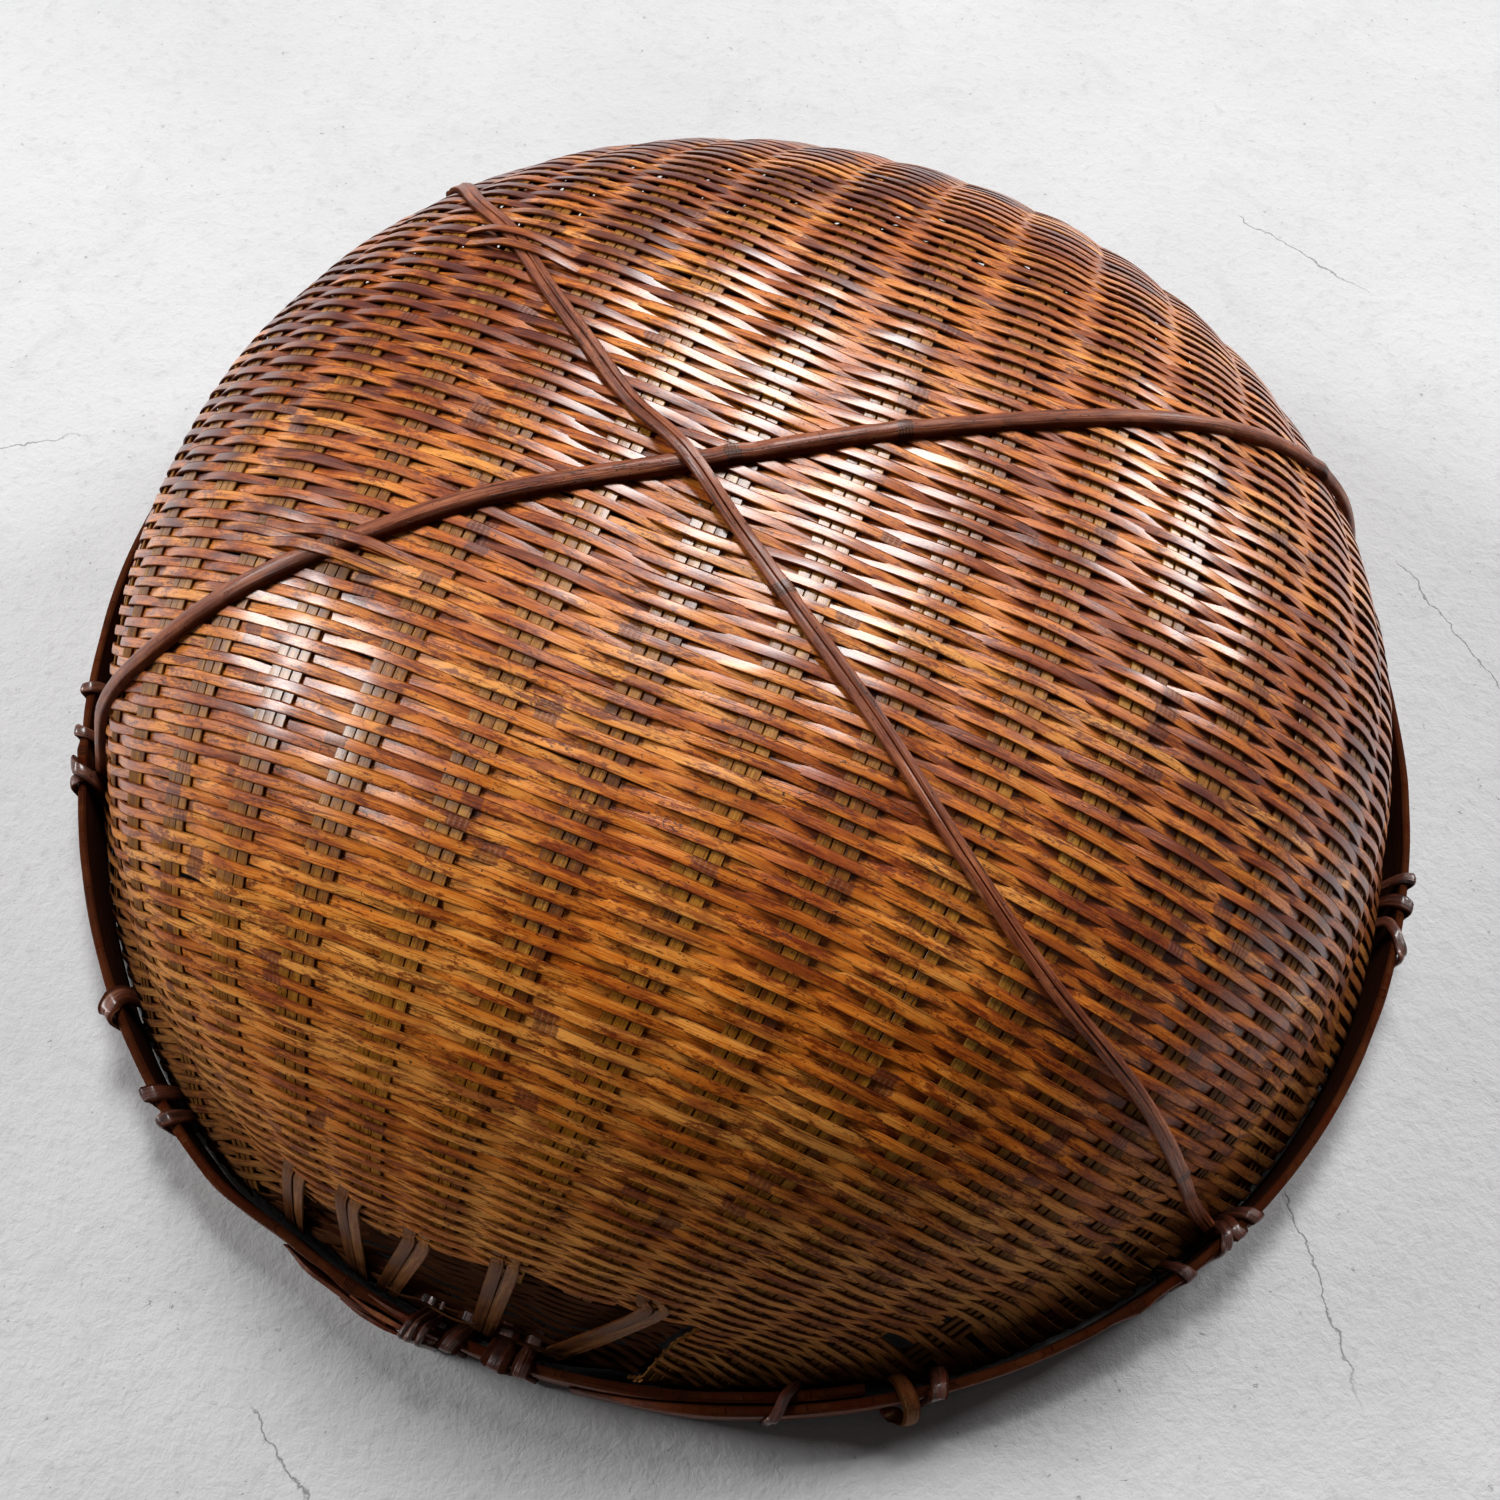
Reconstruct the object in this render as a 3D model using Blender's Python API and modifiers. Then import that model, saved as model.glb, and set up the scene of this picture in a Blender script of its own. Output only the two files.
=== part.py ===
"""A zaru: a round, shallow basket of split bamboo, standing mouth down on its rim.

The weave is one closed shell with a low ridge over each group of warps. A wide band inside the shell and a narrow hoop outside it grip
its edge, rattan lashings bind the two, two sticks cross over the dome with a few wefts laid
over them, and pairs of warps lie bare where the outer wefts have worn away at the front.
Metres, +Z up, with the origin on the floor below the middle of the rim; the front is -Y.
"""

import math

import bmesh
import bpy
import numpy as np
from mathutils import Vector

# Outside of the rim, and the dome of the weave whose foot the rim's hoop stands off
RIM_RADIUS = 0.260
DOME_HEIGHT = 0.175
RIM_STAND_OFF = 0.0126
DOME_FOOT_HEIGHT = 0.013
FLARE = 0.0075
FLARE_HEIGHT = 0.050
WEAVE_THICKNESS = 0.003
# Powers of the dome's rounded-square outline, across and up
SHOULDER_POWER = 3.07
CROWN_POWER = 1.94
# Hand-bent out of round: lobes, size and direction in degrees, at the rim and at the crown
RIM_BENDS = ((2, 0.0012, -27.0), (3, 0.0028, 29.0), (4, 0.0026, -38.0))
CROWN_BENDS = ((2, 0.0023, 55.0), (3, 0.0041, 1.6))
CROWN_LEAN = (-0.0030, -0.0020)
# Relief of the weave: its wefts ride up over each group of warps and sink between the groups
RIDGE_DEPTH = 0.0011
RIDGE_FADE_SHARES = (0.78, 0.87)
WEAVE_TURN_DEGREES = -16.0

# Clearances
SEAT_GAP = 0.0004
BENT_GAP = 0.0006
LASH_GAP = 0.0005

# Rim: the hoop outside the weave and the band inside it
HOOP_THICKNESS = 0.0035
HOOP_HEIGHT = 0.024
BAND_THICKNESS = 0.0035
BAND_HEIGHT = 0.030
BAND_LIFT_OFF_FLOOR = 0.0035
BAND_START_DEGREES = 35.0
BAND_OVERLAP_DEGREES = 20.0
BAND_STEP_IN_DEGREES = 10.0
HOOP_START_DEGREES = -97.8
HOOP_END_DEGREES = 284.0
HOOP_DIP_DEGREES = (231.0, 240.0)

# Splint laid outside the hoop at the front left, its broken end turned up and inwards
SPLINT_THICKNESS = 0.0034
SPLINT_WIDTH = 0.0060
SPLINT_DEGREES = (-119.8, -111.8)
SPLINT_END_DEGREES = -108.6
SPLINT_TURN_IN = 0.0088
SPLINT_RISE = 0.0045
BINDING_WIDTH = 0.0060
BINDING_THICKNESS = 0.0008
BINDING_GAP = 0.0003

# Lashings
LASH_WIDTH = 0.0042
LASH_THICKNESS = 0.0016
LASH_FILLET = 0.0010
WIDE_LASH_WIDTH = 0.0058

# Sticks over the dome
STICK_A_WIDTHS = (0.0056, 0.0040)
STICK_A_THICKNESS = 0.0024
STICK_A_CROWN = 0.0008
STICK_B_WIDTH = 0.0066
STICK_B_THICKNESS = 0.0028
STICK_B_CROWN = 0.0012
STICK_END_HEIGHT = 0.013
STICK_B_LEFT_LIFT = 0.0030
CROSSING_HALF = 0.009
CROSSING_RUN = 0.028

# Wefts over the sticks, and bare warps
WEFT_WIDTH = 0.0032
WEFT_THICKNESS = 0.0010
WEFT_HALF_LENGTH = 0.036
WEFT_PLATEAU_HALF = 0.008
WEFT_RUN = 0.020
WEFT_STEPS = 18
WARP_WIDTH = 0.0044
WARP_PAIR_GAP = 0.0005
WARP_THICKNESS = 0.0010
WARP_END_HEIGHT = 0.008

# Loose curl of rattan at the front
CURL_DEGREES = -75.2
CURL_WIDTH = 0.0050
CURL_THICKNESS = 0.0018
CURL_RADIUS = 0.0052

# Mesh steps
RING_STEP_DEGREES = 5.0
TABLE_STEPS = 2000
WELD = 0.00005
SHELL_STEP_DEGREES = 3.0
RIDGE_RINGS = 33
RIDGE_RING_SHARES = (0.035, 0.865)
INSIDE_RING_SHARES = (0.045, 0.13, 0.24, 0.36, 0.47, 0.57, 0.66, 0.74, 0.81, 0.865)

DOME_FOOT_RADIUS = RIM_RADIUS - HOOP_THICKNESS - RIM_STAND_OFF
SPLINT_END_RADIUS = RIM_RADIUS - SPLINT_TURN_IN
FOOT = LASH_THICKNESS + LASH_GAP
HOOP_TOP = FOOT + HOOP_HEIGHT
BAND_TOP = FOOT + BAND_HEIGHT
BAND_FOOT = FOOT + BAND_LIFT_OFF_FLOOR
OVER_WARP = BENT_GAP + WARP_THICKNESS
OVER_STICK_A = STICK_A_THICKNESS + STICK_A_CROWN + BENT_GAP
OVER_STICK_B = STICK_B_THICKNESS + STICK_B_CROWN + BENT_GAP
# Direction from the middle of a wide turn to that of the narrow one tied close beside it
BESIDE_DEGREES = math.degrees(((WIDE_LASH_WIDTH + LASH_WIDTH) / 2 + LASH_GAP)
                              / (DOME_FOOT_RADIUS - WEAVE_THICKNESS - BAND_THICKNESS))
FRONT_PAIR_DEGREES = -102.7

# Routes over the dome: share of the way from crown to edge, and direction in degrees
STICK_A_FAR_SHARES = (0.89, 0.80, 0.66, 0.523, 0.388, 0.284, 0.204, 0.130, 0.070)
STICK_A_FAR_DEGREES = (131.0, 131.0, 131.4, 132.4, 135.4, 141.2, 148.1, 162.1, 196.3)
STICK_A_NEAR_SHARES = (0.085, 0.167, 0.281, 0.409, 0.530, 0.660, 0.731, 0.80, 0.89)
STICK_A_NEAR_DEGREES = (-100.9, -75.7, -65.8, -61.3, -57.8, -53.8, -52.0, -50.4, -49.0)
STICK_A_RIM_DEGREES = (131.0, -48.6)
STICK_B_LEFT_SHARES = (0.89, 0.78, 0.698, 0.601, 0.464, 0.355, 0.246, 0.114, 0.025)
STICK_B_LEFT_DEGREES = (-167.8, -166.0, -164.9, -163.3, -162.9, -162.2, -163.5, -163.9, -167.7)
STICK_B_RIGHT_SHARES = (0.084, 0.212, 0.376, 0.556, 0.66, 0.80, 0.89)
STICK_B_RIGHT_DEGREES = (20.6, 17.8, 17.6, 17.4, 17.2, 17.0, 17.0)
STICK_B_RIM_DEGREES = (-168.4, 17.0)

# Wefts over the sticks: share, direction, and the way the weft runs in plan, in degrees
WEFTS_OVER_A = ((0.377, 135.8, -31.0), (0.350, 137.5, -30.0))
WEFTS_OVER_B = ((0.374, -162.0, -22.0), (0.402, -161.8, -22.0))

# Pairs of bare warps: share and direction at the edge of the sound weave, direction at the rim
WARP_PAIRS = (
    (0.839, -121.5, -121.8), (0.804, -116.1, -115.6), (0.805, -110.3, -113.2),
    (0.781, -103.3, -105.3), (0.801, -92.5, -99.3),
)

# Number of the warp group at a point of the unrolled weave: powers of its two coordinates, which
# are shares of the dome's length across and along the warps, and how much each term adds
WARP_NUMBER_SHARES = (
    (0, 0, 0.201), (0, 1, 0.329), (1, 0, 9.69), (0, 2, -0.153), (1, 1, 0.554), (2, 0, 0.097),
    (0, 3, -2.066), (1, 2, 3.206), (2, 1, -0.12), (3, 0, 2.976), (0, 4, 0.059), (1, 3, -0.273),
    (2, 2, 1.406), (3, 1, 0.543), (4, 0, -0.263), (0, 5, 1.329), (1, 4, 4.094), (2, 3, 0.369),
    (3, 2, -6.776), (4, 1, -0.079), (5, 0, -2.173),
)

# Lashings: name, direction and slant of the top in degrees, width, height of what its end lies on
LASHINGS = (
    ("lashing_front_1", -106.5, 0.0, LASH_WIDTH, OVER_WARP),
    ("lashing_front_2", FRONT_PAIR_DEGREES, 0.0, WIDE_LASH_WIDTH, 0.0),
    ("lashing_front_3", FRONT_PAIR_DEGREES + BESIDE_DEGREES, 0.0, LASH_WIDTH, 0.0),
    ("lashing_front_4", -83.8, 3.4, LASH_WIDTH, 0.0),
    ("lashing_front_5", -71.7, 0.0, LASH_WIDTH, 0.0),
    ("lashing_right_1", -18.4, 2.4, LASH_WIDTH, 0.0),
    ("lashing_right_2", -13.7, 0.0, LASH_WIDTH, 0.0),
    ("lashing_right_3", -11.9, 0.0, LASH_WIDTH, 0.0),
    ("lashing_left_1", -143.3, -2.2, WIDE_LASH_WIDTH, 0.0),
    ("lashing_left_2", -136.2, 0.0, WIDE_LASH_WIDTH, 0.0),
    ("lashing_left_3", -134.0, 0.0, WIDE_LASH_WIDTH, 0.0),
    ("lashing_back_1", 60.0, 0.0, LASH_WIDTH, 0.0),
    ("lashing_back_2", 95.0, 0.0, LASH_WIDTH, 0.0),
    ("lashing_back_3", 160.0, 0.0, LASH_WIDTH, 0.0),
)
# Knots: name, the stick's direction at the rim, the turns beside it, the slant of the strap over
# it in degrees, the stick's height there
KNOTS = (
    ("knot_stick_a_front", -48.6, (-51.2, -45.8, -43.8), 1.0, OVER_STICK_A),
    ("knot_stick_a_back", 131.0, (128.4, 133.6), -1.0, OVER_STICK_A),
    ("knot_stick_b_left", -168.4, (-174.2, -171.4, -165.6), -1.0, OVER_STICK_B + STICK_B_LEFT_LIFT),
    ("knot_stick_b_right", 17.0, (14.2, 19.8), 1.0, OVER_STICK_B),
)

WEAVE_LOOK = ((0.46, 0.20, 0.035, 1.0), 0.34)
HOOP_LOOK = ((0.22, 0.075, 0.030, 1.0), 0.45)
STICK_LOOK = ((0.13, 0.042, 0.018, 1.0), 0.38)
RATTAN_LOOK = ((0.10, 0.040, 0.020, 1.0), 0.50)
WARP_LOOK = ((0.24, 0.12, 0.045, 1.0), 0.50)


def material(name, look):
    """A bamboo finish from a colour and a roughness."""
    found = bpy.data.materials.get(name)
    if found:
        return found
    colour, roughness = look
    made = bpy.data.materials.new(name)
    made.use_nodes = True
    shader = made.node_tree.nodes["Principled BSDF"]
    shader.inputs["Base Color"].default_value = colour
    shader.inputs["Roughness"].default_value = roughness
    shader.inputs["Metallic"].default_value = 0.0
    return made


def bend(bends, angle):
    """Radial push, in metres, of the lobes in a table of bends."""
    return sum(size * math.cos(lobes * (angle - math.radians(way))) for lobes, size, way in bends)


def bent(radius, angle, height):
    """Where the hand-bent basket has a point that is given on the round, upright one."""
    rise = height / DOME_HEIGHT
    push = (1 - rise) * bend(RIM_BENDS, angle) + rise * bend(CROWN_BENDS, angle)
    reach = radius * (1 + push / RIM_RADIUS)
    return Vector((
        reach * math.cos(angle) + rise * CROWN_LEAN[0],
        reach * math.sin(angle) + rise * CROWN_LEAN[1],
        height,
    ))


def dome_table():
    """Distance along the outer face, radius and height, from the crown down to the edge."""
    fall = np.linspace(0.0, math.pi / 2, TABLE_STEPS)
    radius = DOME_FOOT_RADIUS * np.sin(fall) ** (2 / SHOULDER_POWER)
    height = DOME_FOOT_HEIGHT + (DOME_HEIGHT - DOME_FOOT_HEIGHT) * np.cos(fall) ** (2 / CROWN_POWER)
    foot = np.linspace(DOME_FOOT_HEIGHT, FOOT, TABLE_STEPS // 10)[1:]
    radius = np.concatenate([radius, np.full(len(foot), DOME_FOOT_RADIUS)])
    height = np.concatenate([height, foot])
    radius = radius + FLARE * np.clip(1 - height / FLARE_HEIGHT, 0, None) ** 2
    steps = np.hypot(np.diff(radius), np.diff(height))
    return np.concatenate([[0.0], np.cumsum(steps)]), radius, height


ARC, ARC_RADIUS, ARC_HEIGHT = dome_table()
DOME_LENGTH = float(ARC[-1])


def arc_at_height(height):
    """Distance from the crown at which the outer face comes down to a height."""
    return float(np.interp(-height, -ARC_HEIGHT, ARC))


def outline(arc, lift=0.0):
    """Radius and height on the outer face at a distance from the crown, lifted along its normal."""
    step = DOME_LENGTH / TABLE_STEPS * 4
    low, high = max(arc - step, 0.0), min(arc + step, DOME_LENGTH)
    run = np.interp(high, ARC, ARC_RADIUS) - np.interp(low, ARC, ARC_RADIUS)
    drop = np.interp(high, ARC, ARC_HEIGHT) - np.interp(low, ARC, ARC_HEIGHT)
    length = math.hypot(run, drop)
    radius = float(np.interp(arc, ARC, ARC_RADIUS)) - lift * drop / length
    height = float(np.interp(arc, ARC, ARC_HEIGHT)) + lift * run / length
    return radius, height


def dome(arc, angle, lift=0.0):
    """The place in space of a point on the outline, in a direction round the basket."""
    radius, height = outline(arc, lift)
    return bent(radius, angle, height)


def wall_radius(height, lift):
    """Radius of the weave's wall at a height, with a lift added sideways."""
    return float(np.interp(-height, -ARC_HEIGHT, ARC_RADIUS)) + lift


def smooth(points, steps):
    """Points on a Catmull-Rom curve through the given ones."""
    ends = [2 * points[0] - points[1], *points, 2 * points[-1] - points[-2]]
    curve = []
    for i in range(1, len(ends) - 2):
        before, start, end, after = ends[i - 1:i + 3]
        for k in range(steps):
            t = k / steps
            curve.append(0.5 * (
                2 * start + (end - before) * t
                + (2 * before - 5 * start + 4 * end - after) * t ** 2
                + (3 * start - before - 3 * end + after) * t ** 3
            ))
    return curve + [points[-1].copy()]


def rounded(points, cut):
    """A polyline with each corner cut to a small curve of three points."""
    path = [points[0]]
    for before, corner, after in zip(points, points[1:], points[2:]):
        start = corner + (before - corner).normalized() * cut
        end = corner + (after - corner).normalized() * cut
        path += [start, (start + end) / 4 + corner / 2, end]
    return path + [points[-1]]


def sheet(name, rows, thickness, look, collection):
    """A grid laid over rows of points and thickened away from its back."""
    across, along = len(rows[0]), len(rows)
    mesh = bpy.data.meshes.new(name)
    grid = bmesh.new()
    bmesh.ops.create_grid(grid, x_segments=across - 1, y_segments=along - 1, size=1.0)
    for vertex in grid.verts:
        i = round((vertex.co.x + 1) / 2 * (across - 1))
        j = round((vertex.co.y + 1) / 2 * (along - 1))
        vertex.co = rows[j][i]
    grid.to_mesh(mesh)
    grid.free()
    piece = bpy.data.objects.new(name, mesh)
    collection.objects.link(piece)
    solid = piece.modifiers.new("Thickness", "SOLIDIFY")
    solid.thickness = thickness
    solid.offset = 1.0
    solid.use_even_offset = True
    solid.use_quality_normals = True
    mesh.shade_smooth()
    mesh.set_sharp_from_angle(angle=math.radians(40))
    mesh.materials.append(material(name, look))
    return piece


def strip(name, path, normals, widths, thickness, look, collection, crown=0.0):
    """A flat or crowned strip whose back follows a path, facing along the normals."""
    shares = (-1.0, 1.0) if crown == 0 else (-1.0, -0.4, 0.4, 1.0)
    rows = []
    for i, (point, normal, width) in enumerate(zip(path, normals, widths)):
        tangent = (path[min(i + 1, len(path) - 1)] - path[max(i - 1, 0)]).normalized()
        side = tangent.cross(normal).normalized()
        up = side.cross(tangent).normalized()
        rows.append([point + side * (share * width / 2) + up * (crown * (1 - share ** 2))
                     for share in shares])
    return sheet(name, rows, thickness, look, collection)


def over_dome(places, steps):
    """Back points and normals of a strip over the dome, through places of arc, angle and lift."""
    flat = [Vector((arc * math.cos(angle), arc * math.sin(angle), lift))
            for arc, angle, lift in places]
    path, normals = [], []
    for x, y, lift in smooth(flat, steps):
        arc, angle = math.hypot(x, y), math.atan2(y, x)
        path.append(dome(arc, angle, lift))
        normals.append((dome(arc, angle, lift + BENT_GAP) - path[-1]).normalized())
    return path, normals


def step_up(distance, half, run):
    """One within a half width of a crossing, falling smoothly to nothing over a run."""
    t = min(max((distance - half) / run, 0.0), 1.0)
    return 1 - t * t * (3 - 2 * t)


def wall_arcs():
    """Distances from the crown of the two rings that the weave's wall shares with the band."""
    return [arc_at_height(height) for height in (BAND_TOP, BAND_FOOT)]


def warp_number(share, angle):
    """Number of the warp group at a share of the way from the crown to the edge, in a direction."""
    turned = angle - math.radians(WEAVE_TURN_DEGREES)
    across, along = share * math.cos(turned), share * math.sin(turned)
    return sum(part * across ** m * along ** n for m, n, part in WARP_NUMBER_SHARES)


def relief(share, angle):
    """How far the outer face sinks below its ridges: most halfway between two groups of warps."""
    low, high = RIDGE_FADE_SHARES
    fade = min(max((high - share) / (high - low), 0.0), 1.0)
    return RIDGE_DEPTH * fade * (1 - math.cos(math.tau * warp_number(share, angle))) / 2


def ring_arcs(shares):
    """Distances from the crown of a face's rings, with the two that the wall shares with the band."""
    return [0.0] + [share * DOME_LENGTH for share in shares] + wall_arcs()


def woven_shell(collection):
    """The weave as one shell, open at the mouth: two outlines spun round, the outer one ridged."""
    out_arcs = ring_arcs(np.linspace(*RIDGE_RING_SHARES, RIDGE_RINGS))
    outside = [outline(arc) for arc in out_arcs] + [(wall_radius(FOOT, 0.0), FOOT)]
    inside = [outline(arc, -WEAVE_THICKNESS) for arc in ring_arcs(INSIDE_RING_SHARES)]
    inside.append((wall_radius(FOOT, -WEAVE_THICKNESS), FOOT))
    profile = [(max(radius, 0.0), height) for radius, height in outside + inside[::-1]]
    profile[0] = (0.0, profile[0][1])
    profile[-1] = (0.0, profile[-1][1])
    skin = bmesh.new()
    ring = skin.verts.layers.int.new("ring")
    chain = [skin.verts.new((radius, 0.0, height)) for radius, height in profile]
    for number, vertex in enumerate(chain[:len(out_arcs)], start=1):
        vertex[ring] = number
    edges = [skin.edges.new(pair) for pair in zip(chain, chain[1:])]
    bmesh.ops.spin(skin, geom=chain + edges, cent=(0, 0, 0), axis=(0, 0, 1),
                   angle=math.tau, steps=round(360 / SHELL_STEP_DEGREES), use_merge=True)
    bmesh.ops.remove_doubles(skin, verts=skin.verts, dist=WELD)
    for vertex in skin.verts:
        x, y, height = vertex.co
        radius, angle = math.hypot(x, y), math.atan2(y, x)
        if vertex[ring] > 0:
            arc = out_arcs[vertex[ring] - 1]
            radius, height = outline(arc, -relief(arc / DOME_LENGTH, angle))
        vertex.co = bent(radius, angle, height)
    bmesh.ops.recalc_face_normals(skin, faces=skin.faces)
    mesh = bpy.data.meshes.new("woven_shell")
    skin.to_mesh(mesh)
    skin.free()
    collection.objects.link(bpy.data.objects.new("woven_shell", mesh))
    mesh.shade_smooth()
    mesh.set_sharp_from_angle(angle=math.radians(50))
    mesh.materials.append(material("woven_shell", WEAVE_LOOK))


def hoop_face(degrees):
    """Radius of the outer hoop's outside: it dips behind its own start to lie inside it."""
    start, end = HOOP_DIP_DEGREES
    t = min(max((degrees - start) / (end - start), 0.0), 1.0)
    return RIM_RADIUS - (HOOP_THICKNESS + SEAT_GAP) * t * t * (3 - 2 * t)


def rim_face(degrees):
    """Radius of the rim's outside in a direction, whichever ply or splint is outermost."""
    low = SPLINT_DEGREES[0]
    outer_track = degrees >= HOOP_START_DEGREES or low <= degrees <= SPLINT_DEGREES[1]
    return RIM_RADIUS if outer_track else hoop_face(degrees % 360)


def outer_hoop(collection):
    """One split-bamboo band bent round the rim, its ends lying side by side at the front."""
    first = math.ceil(HOOP_START_DEGREES / RING_STEP_DEGREES)
    last = math.floor(HOOP_END_DEGREES / RING_STEP_DEGREES)
    ways = [step * RING_STEP_DEGREES for step in range(first, last + 1)]
    ways = [HOOP_START_DEGREES, *ways, *HOOP_DIP_DEGREES, HOOP_END_DEGREES]
    rows = []
    for way in sorted(set(ways)):
        radius = hoop_face(way) - HOOP_THICKNESS
        rows.append([bent(radius, math.radians(way), height) for height in (HOOP_TOP, FOOT)])
    sheet("outer_hoop", rows, HOOP_THICKNESS, HOOP_LOOK, collection)


def band_lift(degrees):
    """Lift of the inner band's outside: its last stretch lies behind its first."""
    behind = degrees - BAND_START_DEGREES - 360 + BAND_STEP_IN_DEGREES
    t = min(max(behind / BAND_STEP_IN_DEGREES, 0.0), 1.0)
    seat = -(WEAVE_THICKNESS + SEAT_GAP)
    return seat - (BAND_THICKNESS + SEAT_GAP) * t * t * (3 - 2 * t)


def inner_band(collection):
    """The wide band inside the weave's edge, wound once round with its ends overlapping."""
    turn = round((360 + BAND_OVERLAP_DEGREES) / RING_STEP_DEGREES)
    first = round(BAND_START_DEGREES / RING_STEP_DEGREES)
    rows = []
    for step in range(first, first + turn + 1):
        way = step * RING_STEP_DEGREES
        lift = band_lift(way) - BAND_THICKNESS
        rows.append([dome(arc, math.radians(way), lift) for arc in wall_arcs()])
    sheet("inner_band", rows, BAND_THICKNESS, HOOP_LOOK, collection)


def splint(collection):
    """A short splint outside the hoop whose broken end turns up and in over the hoop."""
    start, end = SPLINT_DEGREES
    back = RIM_RADIUS - SPLINT_THICKNESS
    low = HOOP_TOP - SPLINT_WIDTH / 2
    high = HOOP_TOP + SPLINT_RISE + SPLINT_WIDTH / 2
    places = [(back, start, low), (back, (start + end) / 2, low), (back, end, low)]
    places.append((back, end + (SPLINT_END_DEGREES - end) * 0.3, (low + high) / 2))
    places.append((SPLINT_END_RADIUS, SPLINT_END_DEGREES, high))
    path = smooth([bent(radius, math.radians(way), height) for radius, way, height in places], 4)
    normals = [Vector((point.x, point.y, 0.0)).normalized() for point in path]
    widths = [SPLINT_WIDTH] * len(path)
    strip("hoop_splint", path, normals, widths, SPLINT_THICKNESS, HOOP_LOOK, collection)
    along = (path[-1] - path[-3]).normalized()
    middle = path[-1] - along * (BINDING_WIDTH / 2 + BINDING_GAP)
    across = along.cross(normals[-2]).normalized()
    out = across.cross(along)
    half = SPLINT_WIDTH / 2 + BINDING_GAP
    near, far = -BINDING_GAP, SPLINT_THICKNESS + BINDING_GAP
    shape = ((-BINDING_GAP, near), (-half, near), (-half, far), (half, far), (half, near), (BINDING_GAP, near))
    corners = [middle + across * x + out * y for x, y in shape]
    around("splint_binding", corners, along, BINDING_GAP, BINDING_WIDTH, BINDING_THICKNESS,
           RATTAN_LOOK, collection)


def around(name, corners, axis, fillet, width, thickness, look, collection):
    """A flat strip bent round corners that lie in a plane across an axis, facing outwards."""
    path = rounded(corners, fillet)
    heart = sum(corners, Vector()) / len(corners)
    normals = []
    for i in range(len(path)):
        tangent = path[min(i + 1, len(path) - 1)] - path[max(i - 1, 0)]
        normals.append(tangent.cross(axis).normalized())
    if sum(normal.dot(point - heart) for normal, point in zip(normals, path)) < 0:
        normals = [-normal for normal in normals]
    strip(name, path, normals, [width] * len(path), thickness, look, collection)


def lashing(name, degrees, slant, width, under, collection):
    """A flat turn of rattan: from the weave out over the hoop, under the rim, up inside the band."""
    way, slid = math.radians(degrees), math.radians(degrees + slant)
    turned = degrees % 360
    inside = band_lift(turned + (360 if turned < BAND_START_DEGREES else 0))
    inside -= BAND_THICKNESS + LASH_GAP
    high, low = (outline(arc, inside) for arc in wall_arcs())
    face = rim_face(degrees) + LASH_GAP
    top = HOOP_TOP + LASH_GAP
    bottom = FOOT - LASH_GAP
    over = BAND_TOP + LASH_GAP
    lean = (low[0] - high[0]) / (high[1] - low[1])
    start = wall_radius(top, under + LASH_GAP)
    aside = RIM_RADIUS * abs(slid - way)
    start += width / 2 * aside / math.hypot(aside, face - start)
    corners = [
        bent(start, slid, top),
        bent(face, way, top),
        bent(face, way, bottom),
        bent(low[0], way, bottom),
        bent(high[0] - lean * (over - high[1]), slid, over),
        bent(wall_radius(over + LASH_THICKNESS, -WEAVE_THICKNESS - 2 * LASH_GAP), slid, over),
    ]
    axis = Vector((-math.sin(way), math.cos(way), 0.0))
    around(name, corners, axis, LASH_FILLET, width, LASH_THICKNESS, RATTAN_LOOK, collection)


def knot(name, degrees, turns, slant, under, collection):
    """The turns that tie a stick's end to the rim, and the strap that holds it down."""
    for number, way in enumerate(turns, start=1):
        lashing(f"{name}_turn_{number}", way, 0.0, LASH_WIDTH, 0.0, collection)
    lashing(f"{name}_strap", degrees, slant, LASH_WIDTH, under, collection)


def stick_places(shares, directions, lift):
    """Places over the dome for one half of a stick."""
    return [(share * DOME_LENGTH, math.radians(way), lift) for share, way in zip(shares, directions)]


def stick(name, places, rim_degrees, widths, thickness, crown, collection):
    """A split stick sprung over the dome, its ends tucked between the weave and the hoop."""
    end_arc = arc_at_height(STICK_END_HEIGHT)
    first = (end_arc, math.radians(rim_degrees[0]), places[0][2])
    last = (end_arc, math.radians(rim_degrees[1]), places[-1][2])
    path, normals = over_dome([first, *places, last], 3)
    spread = [widths[0] + (widths[-1] - widths[0]) * i / (len(path) - 1) for i in range(len(path))]
    strip(name, path, normals, spread, thickness, STICK_LOOK, collection, crown)


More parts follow.
